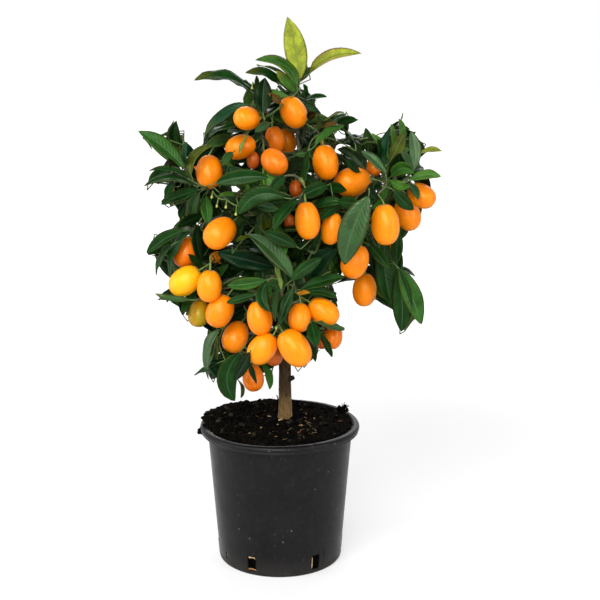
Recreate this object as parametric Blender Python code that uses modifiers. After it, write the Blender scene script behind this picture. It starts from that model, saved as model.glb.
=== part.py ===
"""A young kumquat tree in a round grower's pot: pot, potting soil, trunk, main boughs and masses of foliage.

Metres, +Z up. The origin is the centre of the pot's flat underside, and -Y is the front.
"""

import bpy
import bmesh
from math import atan2, cos, pi, sin, radians
from mathutils import Matrix, Vector, noise

# ---------------------------------------------------------------- sizes
POT_RIM_R = 0.0950        # outside of the rolled rim
POT_RIM_TOP = 0.1655      # pot height
POT_RIM_H = 0.0075        # height of the rolled rim
POT_NECK_R = 0.0862       # wall just under the rim
POT_BASE_R = 0.0735       # wall at the foot
POT_FOOT_FILLET = 0.0022
POT_WALL = 0.0016
POT_FLOOR = 0.0022
POT_STEPS = 52

SLOT_W = 0.0108           # drain slots round the foot
SLOT_Z = (0.0045, 0.0235)
SLOT_ANGLES = [-85.6 + 60.0 * k for k in range(6)]   # degrees from the front
NARROW_SLOT_ANGLES = (-57.5, 122.5)
NARROW_SLOT_W = 0.0036
NARROW_SLOT_Z = (0.0080, 0.0175)

SOIL_CENTRE_Z = 0.1706    # ground level at the trunk
SOIL_EDGE_Z = 0.1646
GAP = 0.0005              # air left between touching pieces

TRUNK_AXIS = [(0.0062, 0.0, SOIL_CENTRE_Z + GAP), (0.0062, 0.0, 0.178), (0.0062, 0.0, 0.190),
              (0.0062, 0.0, 0.212), (0.0058, 0.0, 0.240), (0.0034, 0.0, 0.268),
              (0.0004, 0.0, 0.290), (-0.0022, 0.0, 0.307), (-0.0022, 0.0, 0.312)]
TRUNK_R = [0.0092, 0.0083, 0.0077, 0.0074, 0.0072, 0.0069, 0.0066, 0.0063, 0.0062]

LEADER_AXIS = [(-0.0022, 0.0, 0.312 + GAP), (-0.0022, 0.0, 0.318), (-0.0018, 0.001, 0.336), (0.0000, 0.002, 0.362),
               (0.0030, 0.003, 0.392), (0.0066, 0.003, 0.425), (0.0126, 0.002, 0.462),
               (0.0225, 0.001, 0.486), (0.0290, 0.000, 0.510), (0.0292, 0.000, 0.536)]
LEADER_R = [0.0061, 0.0058, 0.0052, 0.0047, 0.0042, 0.0037, 0.0032, 0.0028, 0.0025, 0.0022]

# Each mass of leaves: centre, half sizes, and the points that its longest leaves reach.
FOLIAGE = {
    "foliage_tip": ((0.022, 0.000, 0.578), (0.032, 0.030, 0.036),
                    [(0.010, 0.000, 0.635), (0.092, 0.005, 0.596), (-0.024, -0.012, 0.590),
                     (-0.036, 0.012, 0.576), (0.020, 0.055, 0.600), (0.050, -0.010, 0.544)]),
    "foliage_crown_left": ((-0.033, -0.040, 0.530), (0.050, 0.044, 0.040),
                           [(-0.090, -0.040, 0.568), (-0.079, -0.052, 0.506), (-0.050, -0.062, 0.492),
                            (-0.020, -0.102, 0.540)]),
    "foliage_crown_right": ((0.050, -0.030, 0.505), (0.036, 0.040, 0.034),
                            [(0.088, -0.025, 0.523), (0.073, 0.000, 0.524), (0.070, -0.085, 0.512)]),
    "foliage_crown_back": ((-0.005, 0.062, 0.508), (0.062, 0.050, 0.044),
                           [(-0.060, 0.100, 0.540), (0.050, 0.110, 0.548), (0.000, 0.135, 0.520)]),
    "foliage_left_shoulder": ((-0.108, -0.022, 0.466), (0.044, 0.056, 0.040),
                              [(-0.157, -0.030, 0.512), (-0.116, -0.030, 0.522), (-0.154, -0.030, 0.446),
                               (-0.148, 0.010, 0.458), (-0.120, -0.095, 0.470), (-0.118, 0.075, 0.485)]),
    "foliage_left_waist": ((-0.101, -0.018, 0.394), (0.046, 0.058, 0.040),
                           [(-0.151, -0.030, 0.375), (-0.141, -0.020, 0.346), (-0.140, 0.070, 0.380)]),
    "foliage_centre": ((-0.015, -0.092, 0.438), (0.058, 0.046, 0.054),
                       [(-0.030, -0.152, 0.430), (0.030, -0.146, 0.465)]),
    "foliage_left_low": ((-0.083, -0.050, 0.326), (0.050, 0.056, 0.040),
                         [(-0.139, -0.050, 0.331), (-0.109, -0.055, 0.294), (-0.070, -0.118, 0.300)]),
    "foliage_middle_low": ((0.006, -0.088, 0.326), (0.050, 0.048, 0.064),
                           [(0.000, -0.154, 0.330), (0.030, -0.134, 0.262), (-0.020, -0.130, 0.262)]),
    "foliage_right_shoulder": ((0.130, -0.020, 0.462), (0.050, 0.054, 0.046),
                               [(0.184, -0.020, 0.488), (0.184, -0.030, 0.460), (0.137, -0.010, 0.523),
                                (0.076, -0.030, 0.492), (0.176, -0.034, 0.436), (0.130, -0.092, 0.500),
                                (0.128, 0.078, 0.500)]),
    "foliage_right_waist": ((0.084, -0.064, 0.411), (0.048, 0.052, 0.046),
                            [(0.080, -0.138, 0.390), (0.072, -0.115, 0.362)]),
    "foliage_right_hanging": ((0.128, -0.022, 0.350), (0.040, 0.046, 0.050),
                              [(0.141, -0.030, 0.282), (0.166, -0.020, 0.288), (0.130, 0.060, 0.300)]),
    "foliage_skirt_left": ((-0.056, -0.040, 0.262), (0.046, 0.054, 0.034),
                           [(-0.048, -0.050, 0.2060), (-0.098, -0.050, 0.236), (-0.030, -0.085, 0.228)]),
    "foliage_skirt_right": ((0.052, -0.048, 0.290), (0.036, 0.048, 0.034),
                            [(0.042, -0.062, 0.252), (0.080, -0.060, 0.293), (0.062, -0.052, 0.252),
                             (0.080, -0.090, 0.270)]),
    "foliage_back_left": ((-0.078, 0.088, 0.385), (0.060, 0.052, 0.072),
                          [(-0.130, 0.110, 0.400), (-0.080, 0.150, 0.420), (-0.070, 0.140, 0.320)]),
    "foliage_back_right": ((0.080, 0.082, 0.405), (0.062, 0.054, 0.070),
                           [(0.140, 0.110, 0.420), (0.090, 0.148, 0.440), (0.080, 0.135, 0.320)]),
    "foliage_back_low": ((-0.002, 0.080, 0.300), (0.064, 0.050, 0.046),
                         [(0.020, 0.138, 0.290), (-0.030, 0.120, 0.245), (0.050, 0.100, 0.246)]),
}

# Each bough: what it grows from, the height where it leaves, radius there and at its end, and the mass it enters.
# "rise" is how far it climbs before it bends out.
BOUGHS = {
    "bough_crown_left": ("leader", 0.448, 0.0024, 0.0018, "foliage_crown_left", 0.30),
    "bough_crown_right": ("leader", 0.468, 0.0022, 0.0016, "foliage_crown_right", 0.30),
    "bough_crown_back": ("leader", 0.430, 0.0024, 0.0018, "foliage_crown_back", 0.35),
    "bough_left_shoulder": ("leader", 0.352, 0.0034, 0.0022, "foliage_left_shoulder", 0.40),
    "bough_left_waist": ("leader", 0.331, 0.0030, 0.0022, "foliage_left_waist", 0.35),
    "bough_centre": ("leader", 0.372, 0.0028, 0.0020, "foliage_centre", 0.30),
    "bough_left_low": ("trunk", 0.283, 0.0030, 0.0022, "foliage_left_low", 0.30),
    "bough_middle_low": ("trunk", 0.300, 0.0028, 0.0020, "foliage_middle_low", 0.25),
    "bough_right_shoulder": ("leader", 0.388, 0.0036, 0.0024, "foliage_right_shoulder", 0.35),
    "bough_right_waist": ("leader", 0.345, 0.0032, 0.0022, "foliage_right_waist", 0.35),
    "bough_right_hanging": ("trunk", 0.296, 0.0030, 0.0020, "foliage_right_hanging", 0.45),
    "bough_skirt_left": ("trunk", 0.256, 0.0026, 0.0018, "foliage_skirt_left", 0.10),
    "bough_skirt_right": ("trunk", 0.262, 0.0026, 0.0018, "foliage_skirt_right", 0.15),
    "bough_back_left": ("leader", 0.322, 0.0032, 0.0022, "foliage_back_left", 0.35),
    "bough_back_right": ("leader", 0.360, 0.0032, 0.0022, "foliage_back_right", 0.30),
    "bough_back_low": ("trunk", 0.276, 0.0028, 0.0020, "foliage_back_low", 0.20),
}


# ---------------------------------------------------------------- helpers
def clear_scene():
    for obj in list(bpy.data.objects):
        bpy.data.objects.remove(obj, do_unlink=True)


def new_collection(name, hidden=False):
    col = bpy.data.collections.new(name)
    bpy.context.scene.collection.children.link(col)
    col.hide_render = hidden
    return col


def material(name, colour, rough, metal=0.0):
    mat = bpy.data.materials.new(name)
    mat.use_nodes = True
    bsdf = mat.node_tree.nodes["Principled BSDF"]
    bsdf.inputs["Base Color"].default_value = (*colour, 1.0)
    bsdf.inputs["Roughness"].default_value = rough
    bsdf.inputs["Metallic"].default_value = metal
    return mat


def add_object(name, mesh, col, mat=None):
    obj = bpy.data.objects.new(name, mesh)
    col.objects.link(obj)
    if mat:
        mesh.materials.clear()
        mesh.materials.append(mat)
    return obj


def turned(name, profile, col, mat, steps):
    """A profile of (radius, height) points, turned round Z with a Screw modifier."""
    mesh = bpy.data.meshes.new(name)
    mesh.from_pydata([(r, 0.0, z) for r, z in profile], [(i, i + 1) for i in range(len(profile) - 1)], [])
    obj = add_object(name, mesh, col, mat)
    screw = obj.modifiers.new("turn", "SCREW")
    screw.axis = "Z"
    screw.angle = 2 * pi
    screw.steps = screw.render_steps = steps
    screw.use_merge_vertices = True
    screw.merge_threshold = 0.0001
    screw.use_smooth_shade = True
    return obj


def tube_mesh(name, axis, radii, grow=0.0, resolution=1):
    """A tapering limb: a curve with its radius set point by point, turned into a mesh with welded caps."""
    curve = bpy.data.curves.new(name, "CURVE")
    curve.dimensions = "3D"
    curve.bevel_depth = 1.0
    curve.bevel_resolution = resolution
    curve.use_fill_caps = True
    spline = curve.splines.new("POLY")
    spline.points.add(len(axis) - 1)
    for p, co, r in zip(spline.points, axis, radii):
        p.co = (*co, 1.0)
        p.radius = r + grow
    obj = bpy.data.objects.new(name + "_line", curve)
    bpy.context.scene.collection.objects.link(obj)
    bpy.context.view_layer.update()
    graph = bpy.context.evaluated_depsgraph_get()
    mesh = bpy.data.meshes.new_from_object(obj.evaluated_get(graph))
    bpy.data.objects.remove(obj)
    bm = bmesh.new()
    bm.from_mesh(mesh)
    bmesh.ops.remove_doubles(bm, verts=bm.verts, dist=0.00002)
    bmesh.ops.recalc_face_normals(bm, faces=bm.faces)
    bm.to_mesh(mesh)
    bm.free()
    mesh.name = name
    mesh.shade_smooth()
    return mesh


def smooth_line(points, steps):
    """Points read from one smooth curve through the given points."""
    pts = [Vector(p) for p in points]
    pts = [pts[0] * 2 - pts[1]] + pts + [pts[-1] * 2 - pts[-2]]
    out = []
    for i in range(1, len(pts) - 2):
        a, b, c, d = pts[i - 1:i + 3]
        for k in range(steps):
            t = k / steps
            out.append(0.5 * ((2 * b) + (c - a) * t + (2 * a - 5 * b + 4 * c - d) * t * t
                              + (3 * b - 3 * c + d - a) * t ** 3))
    out.append(pts[-2].copy())
    return out


def along(axis, radii, z):
    """Point, direction and radius of an upright limb at height z."""
    for (a, b), (ra, rb) in zip(zip(axis, axis[1:]), zip(radii, radii[1:])):
        a, b = Vector(a), Vector(b)
        if a.z <= z <= b.z:
            t = (z - a.z) / (b.z - a.z)
            return a.lerp(b, t), (b - a).normalized(), ra + (rb - ra) * t
    raise ValueError("height is off the limb")


def cut(obj, cutters, operation="DIFFERENCE"):
    for cutter in cutters:
        boolean = obj.modifiers.new("cut_" + cutter.name, "BOOLEAN")
        boolean.operation = operation
        boolean.object = cutter
        boolean.solver = "EXACT"


def cutter(name, mesh, col):
    obj = add_object(name, mesh, col)
    obj.hide_render = True
    obj.display_type = "WIRE"
    return obj


# ---------------------------------------------------------------- pot and soil
def pot_wall_r(z):
    """Outside radius of the wall at height z."""
    return POT_BASE_R + (POT_NECK_R - POT_BASE_R) * z / (POT_RIM_TOP - POT_RIM_H)


def pot_profile():
    rim_low = POT_RIM_TOP - POT_RIM_H
    outer = [(POT_RIM_R - 0.0062, POT_RIM_TOP - 0.0002), (POT_RIM_R - 0.0035, POT_RIM_TOP),
             (POT_RIM_R - 0.0014, POT_RIM_TOP - 0.0009), (POT_RIM_R - 0.0003, POT_RIM_TOP - 0.0026),
             (POT_RIM_R, POT_RIM_TOP - 0.0044), (POT_RIM_R - 0.0010, rim_low + 0.0010),
             (POT_RIM_R - 0.0010, rim_low), (POT_RIM_R - 0.0026, rim_low - 0.0004),
             (pot_wall_r(rim_low - 0.0008), rim_low - 0.0008)]
    wall = [(pot_wall_r(z), z) for z in (0.080, 0.026, POT_FOOT_FILLET * 1.6)]
    foot = [(pot_wall_r(0.0) - 0.0004, POT_FOOT_FILLET * 0.6), (POT_BASE_R - POT_FOOT_FILLET, 0.0), (0.0, 0.0)]
    inner = [(0.0, POT_FLOOR), (POT_BASE_R - POT_WALL - 0.002, POT_FLOOR)]
    inner += [(pot_wall_r(z) - POT_WALL, z) for z in (0.0045, 0.080, rim_low)]
    inner += [(POT_RIM_R - 0.0078, POT_RIM_TOP - 0.0016)]
    # down the outside, across the underside, up the inside: closed at the rim
    return outer + wall + foot + inner + [outer[0]]


def build_pot(col, cutters, mat):
    pot = turned("pot", pot_profile(), col, mat, POT_STEPS)
    for kind, angles, width, span in (("slot", SLOT_ANGLES, SLOT_W, SLOT_Z),
                                      ("narrow", NARROW_SLOT_ANGLES, NARROW_SLOT_W, NARROW_SLOT_Z)):
        for k, angle in enumerate(angles):
            bm = bmesh.new()
            bmesh.ops.create_cube(bm, size=1.0)
            bmesh.ops.scale(bm, vec=(width, 0.016, span[1] - span[0]), verts=bm.verts)
            mesh = bpy.data.meshes.new(f"{kind}_{k}")
            bm.to_mesh(mesh)
            bm.free()
            box = cutter(f"{kind}_{k}", mesh, cutters)
            turn = radians(angle)
            box.location = (sin(turn) * POT_BASE_R, -cos(turn) * POT_BASE_R, (span[0] + span[1]) / 2)
            box.rotation_euler = (0.0, 0.0, turn)
            cut(pot, [box])
    return pot


def soil_height(x, y):
    """Ground level: a low mound, flat at the trunk, a little higher at the back left."""
    r = (x * x + y * y) ** 0.5
    edge = POT_NECK_R
    t = min(1.0, max(0.0, (r - 0.014) / (edge - 0.014)))
    z = SOIL_CENTRE_Z + (SOIL_EDGE_Z - SOIL_CENTRE_Z) * t * t
    lump = noise.noise(Vector((x * 55, y * 55, 3.1))) * 0.0016
    bank = 0.0030 * max(0.0, cos(atan2(y, x) - radians(150))) * t
    return z + (lump + bank) * min(1.0, max(0.0, (r - 0.012) / 0.012)) * (1.0 if r < edge - 0.004 else 0.5)


def build_soil(col, mat):
    wall = [(0.0, SOIL_CENTRE_Z)] + [(r, SOIL_CENTRE_Z) for r in (0.012, 0.026, 0.044, 0.062, 0.076)]
    inner_gap = POT_WALL + GAP + 0.0004
    side = [(pot_wall_r(z) - inner_gap, z) for z in (0.1575, 0.080, 0.0055)]
    floor = [(POT_BASE_R - POT_WALL - 0.0035, POT_FLOOR + GAP), (0.0, POT_FLOOR + GAP)]
    soil = turned("soil", wall + [(POT_NECK_R - inner_gap - 0.0006, SOIL_EDGE_Z)] + side + floor, col, mat, 30)
    bpy.context.view_layer.update()
    graph = bpy.context.evaluated_depsgraph_get()
    mesh = bpy.data.meshes.new_from_object(soil.evaluated_get(graph))
    for v in mesh.vertices:
        if v.co.z > 0.1576:
            v.co.z = soil_height(v.co.x, v.co.y)
    soil.modifiers.clear()
    soil.data = mesh
    return soil


# ---------------------------------------------------------------- trunk and boughs
def bough_lines():
    """Each bough's centreline, from the middle of its parent to the middle of its mass."""
    lines = {}
    for name, (parent, z, r0, r1, mass, rise) in BOUGHS.items():
        axis, radii = (TRUNK_AXIS, TRUNK_R) if parent == "trunk" else (LEADER_AXIS, LEADER_R)
        start, _, _ = along(axis, radii, z)
        end = Vector(FOLIAGE[mass][0])
        run = end - start
        flat = Vector((run.x, run.y, 0.0))
        side = flat.normalized()
        # leaves the parent upwards and outwards, then bends over towards the mass
        first = start + side * flat.length * 0.16 + Vector((0, 0, max(run.z, 0.0) * rise * 0.4 + 0.010))
        second = start + side * flat.length * 0.50 + Vector((0, 0, run.z * 0.5 + flat.length * rise * 0.30))
        lines[name] = (smooth_line([start, first, second, end], 4), r0, r1)
    return lines


def radius_at(r0, r1, share):
    return r0 + (r1 - r0) * share


# ---------------------------------------------------------------- foliage
def noise_at(direction, seed):
    return noise.noise(direction * 1.7 + Vector((seed * 7.3, seed * 3.1, seed * 5.7)))


def ellipsoid_reach(half, direction):
    return 1.0 / ((direction.x / half[0]) ** 2 + (direction.y / half[1]) ** 2 + (direction.z / half[2]) ** 2) ** 0.5


def dividing_planes(name):
    """The planes that keep this mass clear of its neighbours: (distance, direction)."""
    centre, half, _ = FOLIAGE[name]
    centre = Vector(centre)
    planes = []
    for other, (c2, h2, _) in FOLIAGE.items():
        if other == name:
            continue
        gap = Vector(c2) - centre
        way = gap.normalized()
        mine, theirs = ellipsoid_reach(half, way), ellipsoid_reach(h2, way)
        planes.append((gap.length * mine / (mine + theirs) - 0.0010, way))
    return planes


def mass_reach(name, direction, planes, column):
    """How far this mass reaches from its centre in a direction, before its longest leaves are added."""
    centre, half, tips = FOLIAGE[name]
    seed = sorted(FOLIAGE).index(name)
    reach = ellipsoid_reach(half, direction) * (1.0 + 0.26 * noise_at(direction, seed))
    for tip in tips:
        way = Vector(tip) - Vector(centre)
        angle = direction.angle(way.normalized())
        if angle < 0.46:
            reach = max(reach, reach + (way.length - reach) * (1.0 - angle / 0.46) ** 1.5)
    return limited(Vector(centre), direction, reach, planes, column)


def limited(centre, direction, reach, planes, column):
    for distance, way in planes:
        facing = direction.dot(way)
        if facing > 1e-4:
            reach = min(reach, distance / facing)
    # stays clear of the trunk and the leader
    step = 0.002
    travelled = 0.0
    while travelled < reach:
        p = centre + direction * travelled
        if any((p - q).length < r + 0.0045 for q, r in column):
            return max(0.004, travelled - step)
        travelled += step
    return reach


def column_points():
    """The trunk and leader as a row of balls."""
    found = []
    for axis, radii in ((TRUNK_AXIS, TRUNK_R), (LEADER_AXIS, LEADER_R)):
        for (a, b), (ra, rb) in zip(zip(axis, axis[1:]), zip(radii, radii[1:])):
            a, b = Vector(a), Vector(b)
            for k in range(5):
                found.append((a.lerp(b, k / 5), ra + (rb - ra) * k / 5))
    return found


def build_mass(name, col, mat, column):
    centre, _, tips = FOLIAGE[name]
    centre = Vector(centre)
    planes = dividing_planes(name)
    bm = bmesh.new()
    bmesh.ops.create_icosphere(bm, subdivisions=3, radius=1.0)
    ways = {v: v.co.normalized() for v in bm.verts}
    # the vertex nearest each longest leaf's direction is turned to it, so that the mass reaches it
    for tip in tips:
        want = (Vector(tip) - centre).normalized()
        nearest = min(ways, key=lambda v: ways[v].angle(want))
        ways[nearest] = want
    for v, way in ways.items():
        v.co = centre + way * mass_reach(name, way, planes, column)
    bmesh.ops.recalc_face_normals(bm, faces=bm.faces)
    mesh = bpy.data.meshes.new(name)
    bm.to_mesh(mesh)
    bm.free()
    return add_object(name, mesh, col, mat)


def end_at_mass(line, mass, column):
    """The part of a bough's line outside its mass."""
    centre = Vector(FOLIAGE[mass][0])
    planes = dividing_planes(mass)
    kept = []
    for i, p in enumerate(line):
        way = p - centre
        if i > 1 and (way.length < 1e-6 or way.length < mass_reach(mass, way.normalized(), planes, column) - 0.006):
            break
        kept.append(p)
    return kept


def main():
    clear_scene()
    tree = new_collection("kumquat_tree")
    cutters = new_collection("cutters", hidden=True)
    plastic = material("pot_plastic", (0.018, 0.018, 0.021), 0.42)
    earth = material("soil", (0.020, 0.014, 0.010), 0.95)
    bark = material("bark", (0.16, 0.115, 0.065), 0.85)
    leaf = material("leaf", (0.030, 0.085, 0.022), 0.45)

    build_pot(tree, cutters, plastic)
    build_soil(tree, earth)

    trunk = add_object("trunk", tube_mesh("trunk", TRUNK_AXIS, TRUNK_R, resolution=2), tree, bark)
    leader = add_object("bough_leader", tube_mesh("bough_leader", LEADER_AXIS, LEADER_R, resolution=2), tree, bark)
    fat = {
        "trunk": cutter("trunk_clearance", tube_mesh("trunk_clearance", TRUNK_AXIS, TRUNK_R, GAP, 2), cutters),
        "leader": cutter("leader_clearance", tube_mesh("leader_clearance", LEADER_AXIS, LEADER_R, GAP, 2), cutters),
    }

    column = column_points()
    limbs = [(trunk, fat["trunk"]), (leader, fat["leader"])]
    for name, (line, r0, r1) in bough_lines().items():
        parent, z, _, _, mass, _ = BOUGHS[name]
        kept = end_at_mass(line, mass, column)
        radii = [radius_at(r0, r1, i / (len(kept) - 1)) for i in range(len(kept))]
        bough = add_object(name, tube_mesh(name, kept, radii), tree, bark)
        cut(bough, [fat[parent]])
        clearance = cutter(name + "_clearance", tube_mesh(name + "_clearance", kept, radii, GAP), cutters)
        # its flat end would otherwise touch the bottom of the hollow cut for it
        tip = (kept[-1] - kept[-2]).normalized() * 0.001
        for v in clearance.data.vertices:
            if (v.co - kept[-1]).length < (r1 + GAP) * 1.6:
                v.co += tip
        limbs.append((bough, clearance))

    for name in FOLIAGE:
        mass = build_mass(name, tree, leaf, column)
        centre = Vector(FOLIAGE[name][0])
        reach = max((v.co - centre).length for v in mass.data.vertices)
        near = [clear for limb, clear in limbs
                if min((v.co - centre).length for v in clear.data.vertices) < reach]
        cut(mass, near)


main()
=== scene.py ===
import math
import random
from math import pi, sin, cos, radians, sqrt

import bpy
import bmesh
import numpy as np
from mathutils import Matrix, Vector, noise
from mathutils.bvhtree import BVHTree


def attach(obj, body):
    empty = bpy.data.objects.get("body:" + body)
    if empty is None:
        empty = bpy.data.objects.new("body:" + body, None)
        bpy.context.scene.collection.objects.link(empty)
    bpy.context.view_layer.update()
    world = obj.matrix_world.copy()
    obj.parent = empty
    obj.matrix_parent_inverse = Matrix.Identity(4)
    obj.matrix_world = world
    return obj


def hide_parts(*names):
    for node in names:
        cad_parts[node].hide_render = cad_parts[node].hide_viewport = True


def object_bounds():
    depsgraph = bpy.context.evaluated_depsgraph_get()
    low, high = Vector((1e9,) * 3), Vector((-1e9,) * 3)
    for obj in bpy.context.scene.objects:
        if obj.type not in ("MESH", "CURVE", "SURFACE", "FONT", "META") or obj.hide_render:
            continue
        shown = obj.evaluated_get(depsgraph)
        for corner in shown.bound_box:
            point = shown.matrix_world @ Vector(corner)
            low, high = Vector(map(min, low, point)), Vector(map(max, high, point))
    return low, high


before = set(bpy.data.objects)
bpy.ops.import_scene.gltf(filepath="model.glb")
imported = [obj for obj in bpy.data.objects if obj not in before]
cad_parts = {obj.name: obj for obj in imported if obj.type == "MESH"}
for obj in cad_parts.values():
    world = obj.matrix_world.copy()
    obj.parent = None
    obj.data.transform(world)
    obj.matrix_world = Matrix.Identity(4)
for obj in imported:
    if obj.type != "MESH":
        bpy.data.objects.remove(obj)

cad_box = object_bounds()
rng = random.Random(4711)

# ---------------------------------------------------------------- camera numbers
CAM_POS = (0.024, -1.300, 0.587)
CAM_PITCH = radians(11.86)          # below the horizon
CAM_F = 1138.0                      # focal length in pixels of a 600 x 600 frame
CP, SP = cos(CAM_PITCH), sin(CAM_PITCH)


def at(px, py, y):
    """The point seen at pixel (px, py) of the 600 x 600 frame, on the upright plane at depth y."""
    a, b = (px - 300) / CAM_F, -(py - 300) / CAM_F
    d = np.array([a, CP + b * SP, -SP + b * CP])
    return np.array(CAM_POS) + d * ((y - CAM_POS[1]) / d[1])


def seen(p):
    """Pixel and distance of points (n, 3) in the 600 x 600 frame."""
    p = np.atleast_2d(p)
    x, y, z = p[:, 0] - CAM_POS[0], p[:, 1] - CAM_POS[1], p[:, 2] - CAM_POS[2]
    dep = y * CP - z * SP
    up = y * SP + z * CP
    return np.stack([300 + CAM_F * x / dep, 300 - CAM_F * up / dep, dep], 1)


def unit(v):
    n = np.linalg.norm(v)
    return v / n if n > 1e-12 else np.array([0.0, 0.0, 1.0])


def srgb(r, g, b):
    """A screen colour as the shader's linear values."""
    return tuple(((c / 255 + 0.055) / 1.055) ** 2.4 if c > 10.3 else c / 255 / 12.92 for c in (r, g, b))


# ---------------------------------------------------------------- materials
class Shade:
    """A Principled material and short calls for the nodes in front of it."""

    def __init__(self, name, rough=0.5, spec=0.5, **sockets):
        self.mat = bpy.data.materials.new(name)
        self.mat.use_nodes = True
        self.tree = self.mat.node_tree
        self.bsdf = self.tree.nodes["Principled BSDF"]
        self.bsdf.inputs["Roughness"].default_value = rough
        self.bsdf.inputs["Specular IOR Level"].default_value = spec
        for key, value in sockets.items():
            self.bsdf.inputs[key.replace("_", " ")].default_value = value

    def node(self, kind, **values):
        n = self.tree.nodes.new(kind)
        for key, value in values.items():
            if key in ("operation", "blend_type", "data_type", "feature", "distance_metric", "noise_dimensions",
                       "uv_map", "attribute_name", "wave_type", "bands_direction", "clamp", "use_clamp",
                       "interpolation_type", "invert", "vector_type", "noise_type", "voronoi_dimensions"):
                setattr(n, key, value)
            else:
                n.inputs[key].default_value = value
        return n

    def link(self, a, b):
        self.tree.links.new(a, b)

    def obj(self):
        return self.node("ShaderNodeTexCoord").outputs["Object"]

    def scaled(self, vec, scale):
        m = self.node("ShaderNodeMapping")
        m.inputs["Scale"].default_value = scale
        self.link(vec, m.inputs["Vector"])
        return m.outputs["Vector"]

    def noise(self, vec, scale, detail=3.0, rough=0.5, distort=0.0):
        n = self.node("ShaderNodeTexNoise", Scale=scale, Detail=detail, Roughness=rough, Distortion=distort)
        self.link(vec, n.inputs["Vector"])
        return n.outputs["Fac"]

    def voronoi(self, vec, scale, feature="F1", randomness=1.0):
        n = self.node("ShaderNodeTexVoronoi", feature=feature, Scale=scale, Randomness=randomness)
        self.link(vec, n.inputs["Vector"])
        return n

    def step(self, value, lo, hi, out_lo=0.0, out_hi=1.0, smooth=True):
        n = self.node("ShaderNodeMapRange")
        n.interpolation_type = "SMOOTHSTEP" if smooth else "LINEAR"
        self.link(value, n.inputs["Value"])
        n.inputs["From Min"].default_value = lo
        n.inputs["From Max"].default_value = hi
        n.inputs["To Min"].default_value = out_lo
        n.inputs["To Max"].default_value = out_hi
        return n.outputs["Result"]

    def math(self, op, a, b=None, c=None):
        n = self.node("ShaderNodeMath", operation=op)
        for k, v in enumerate((a, b, c)):
            if v is None:
                continue
            if isinstance(v, (int, float)):
                n.inputs[k].default_value = v
            else:
                self.link(v, n.inputs[k])
        return n.outputs["Value"]

    def mix(self, fac, a, b, blend="MIX"):
        n = self.node("ShaderNodeMix")
        n.data_type = "RGBA"
        n.blend_type = blend
        for key, v in (("Factor", fac), ("A", a), ("B", b)):
            socket = [s for s in n.inputs if s.name == key and s.type == ("VALUE" if key == "Factor" else "RGBA")][0]
            if isinstance(v, (int, float)):
                socket.default_value = v
            elif isinstance(v, tuple):
                socket.default_value = (*v[:3], 1.0)
            else:
                self.link(v, socket)
        return [s for s in n.outputs if s.type == "RGBA"][0]

    def uv(self, name):
        n = self.node("ShaderNodeUVMap", uv_map=name)
        sep = self.node("ShaderNodeSeparateXYZ")
        self.link(n.outputs["UV"], sep.inputs["Vector"])
        return sep.outputs["X"], sep.outputs["Y"]

    def attr(self, name):
        return self.node("ShaderNodeAttribute", attribute_name=name).outputs["Fac"]

    def colour(self, v):
        self.link(v, self.bsdf.inputs["Base Color"])

    def roughness(self, v):
        self.link(v, self.bsdf.inputs["Roughness"])

    def bump(self, height, strength=0.3, distance=0.001, prev=None):
        n = self.node("ShaderNodeBump", Strength=strength, Distance=distance)
        self.link(height, n.inputs["Height"])
        if prev is not None:
            self.link(prev, n.inputs["Normal"])
        self.link(n.outputs["Normal"], self.bsdf.inputs["Normal"])
        return n.outputs["Normal"]


def scale_colour(c, k):
    return tuple(min(1.0, v * k) for v in c)


def pot_material():
    s = Shade("pot_plastic", 0.42, 0.20, Sheen_Weight=0.22, Sheen_Roughness=0.30)
    o = s.obj()
    base, dusty, scuff = (0.0036, 0.0036, 0.0042), (0.0120, 0.0115, 0.0125), (0.22, 0.215, 0.21)
    cloud = s.step(s.noise(o, 22.0, 4.0, 0.55), 0.35, 0.75)
    c = s.mix(s.math("MULTIPLY", cloud, 0.65), base, (0.0085, 0.0080, 0.0092))
    c = s.mix(s.math("MULTIPLY", s.step(s.noise(o, 150.0, 4.0, 0.7), 0.46, 0.72), 0.50), c, (0.0130, 0.0122, 0.0132))
    streaks = s.step(s.noise(s.scaled(o, (90.0, 90.0, 7.0)), 1.0, 3.0, 0.6), 0.58, 0.80)
    c = s.mix(s.math("MULTIPLY", streaks, 0.35), c, dusty)
    z = s.node("ShaderNodeSeparateXYZ")
    s.link(o, z.inputs["Vector"])
    foot = s.step(z.outputs["Z"], 0.030, 0.0, 0.0, 1.0)
    c = s.mix(s.math("MULTIPLY", foot, s.math("MULTIPLY", s.noise(o, 60.0, 4.0, 0.6), 0.55)), c, (0.050, 0.044, 0.036))
    # small pale scuffs and grains of dried soil
    spots = s.voronoi(s.scaled(o, (1.0, 1.0, 0.7)), 130.0)
    rare = s.step(spots.outputs["Color"], 0.62, 0.66)
    dots = s.step(spots.outputs["Distance"], 0.115, 0.05)
    fleck = s.math("MULTIPLY", s.math("MULTIPLY", rare, dots), 0.70)
    c = s.mix(fleck, c, scuff)
    fine = s.voronoi(s.scaled(o, (1.0, 1.0, 0.35)), 260.0)
    rare2 = s.step(fine.outputs["Color"], 0.66, 0.72)
    dots2 = s.step(fine.outputs["Distance"], 0.20, 0.07)
    c = s.mix(s.math("MULTIPLY", s.math("MULTIPLY", rare2, dots2), 0.45), c, (0.075, 0.070, 0.064))
    # painted shade: the top of the rim, above 163 mm, is painted darker than the rest of the pot
    c = s.mix(s.math("MULTIPLY", s.step(z.outputs["Z"], 0.1630, 0.1650), 0.75), c, (0.0016, 0.0014, 0.0013))
    s.colour(c)
    s.roughness(s.step(s.noise(o, 45.0, 5.0, 0.6), 0.3, 0.7, 0.36, 0.50))
    n = s.bump(s.noise(o, 900.0, 2.0, 0.5), 0.10, 0.0003)
    s.bump(s.noise(s.scaled(o, (14.0, 14.0, 3.0)), 1.0, 2.0, 0.5), 0.20, 0.0015, n)
    return s.mat


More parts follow.
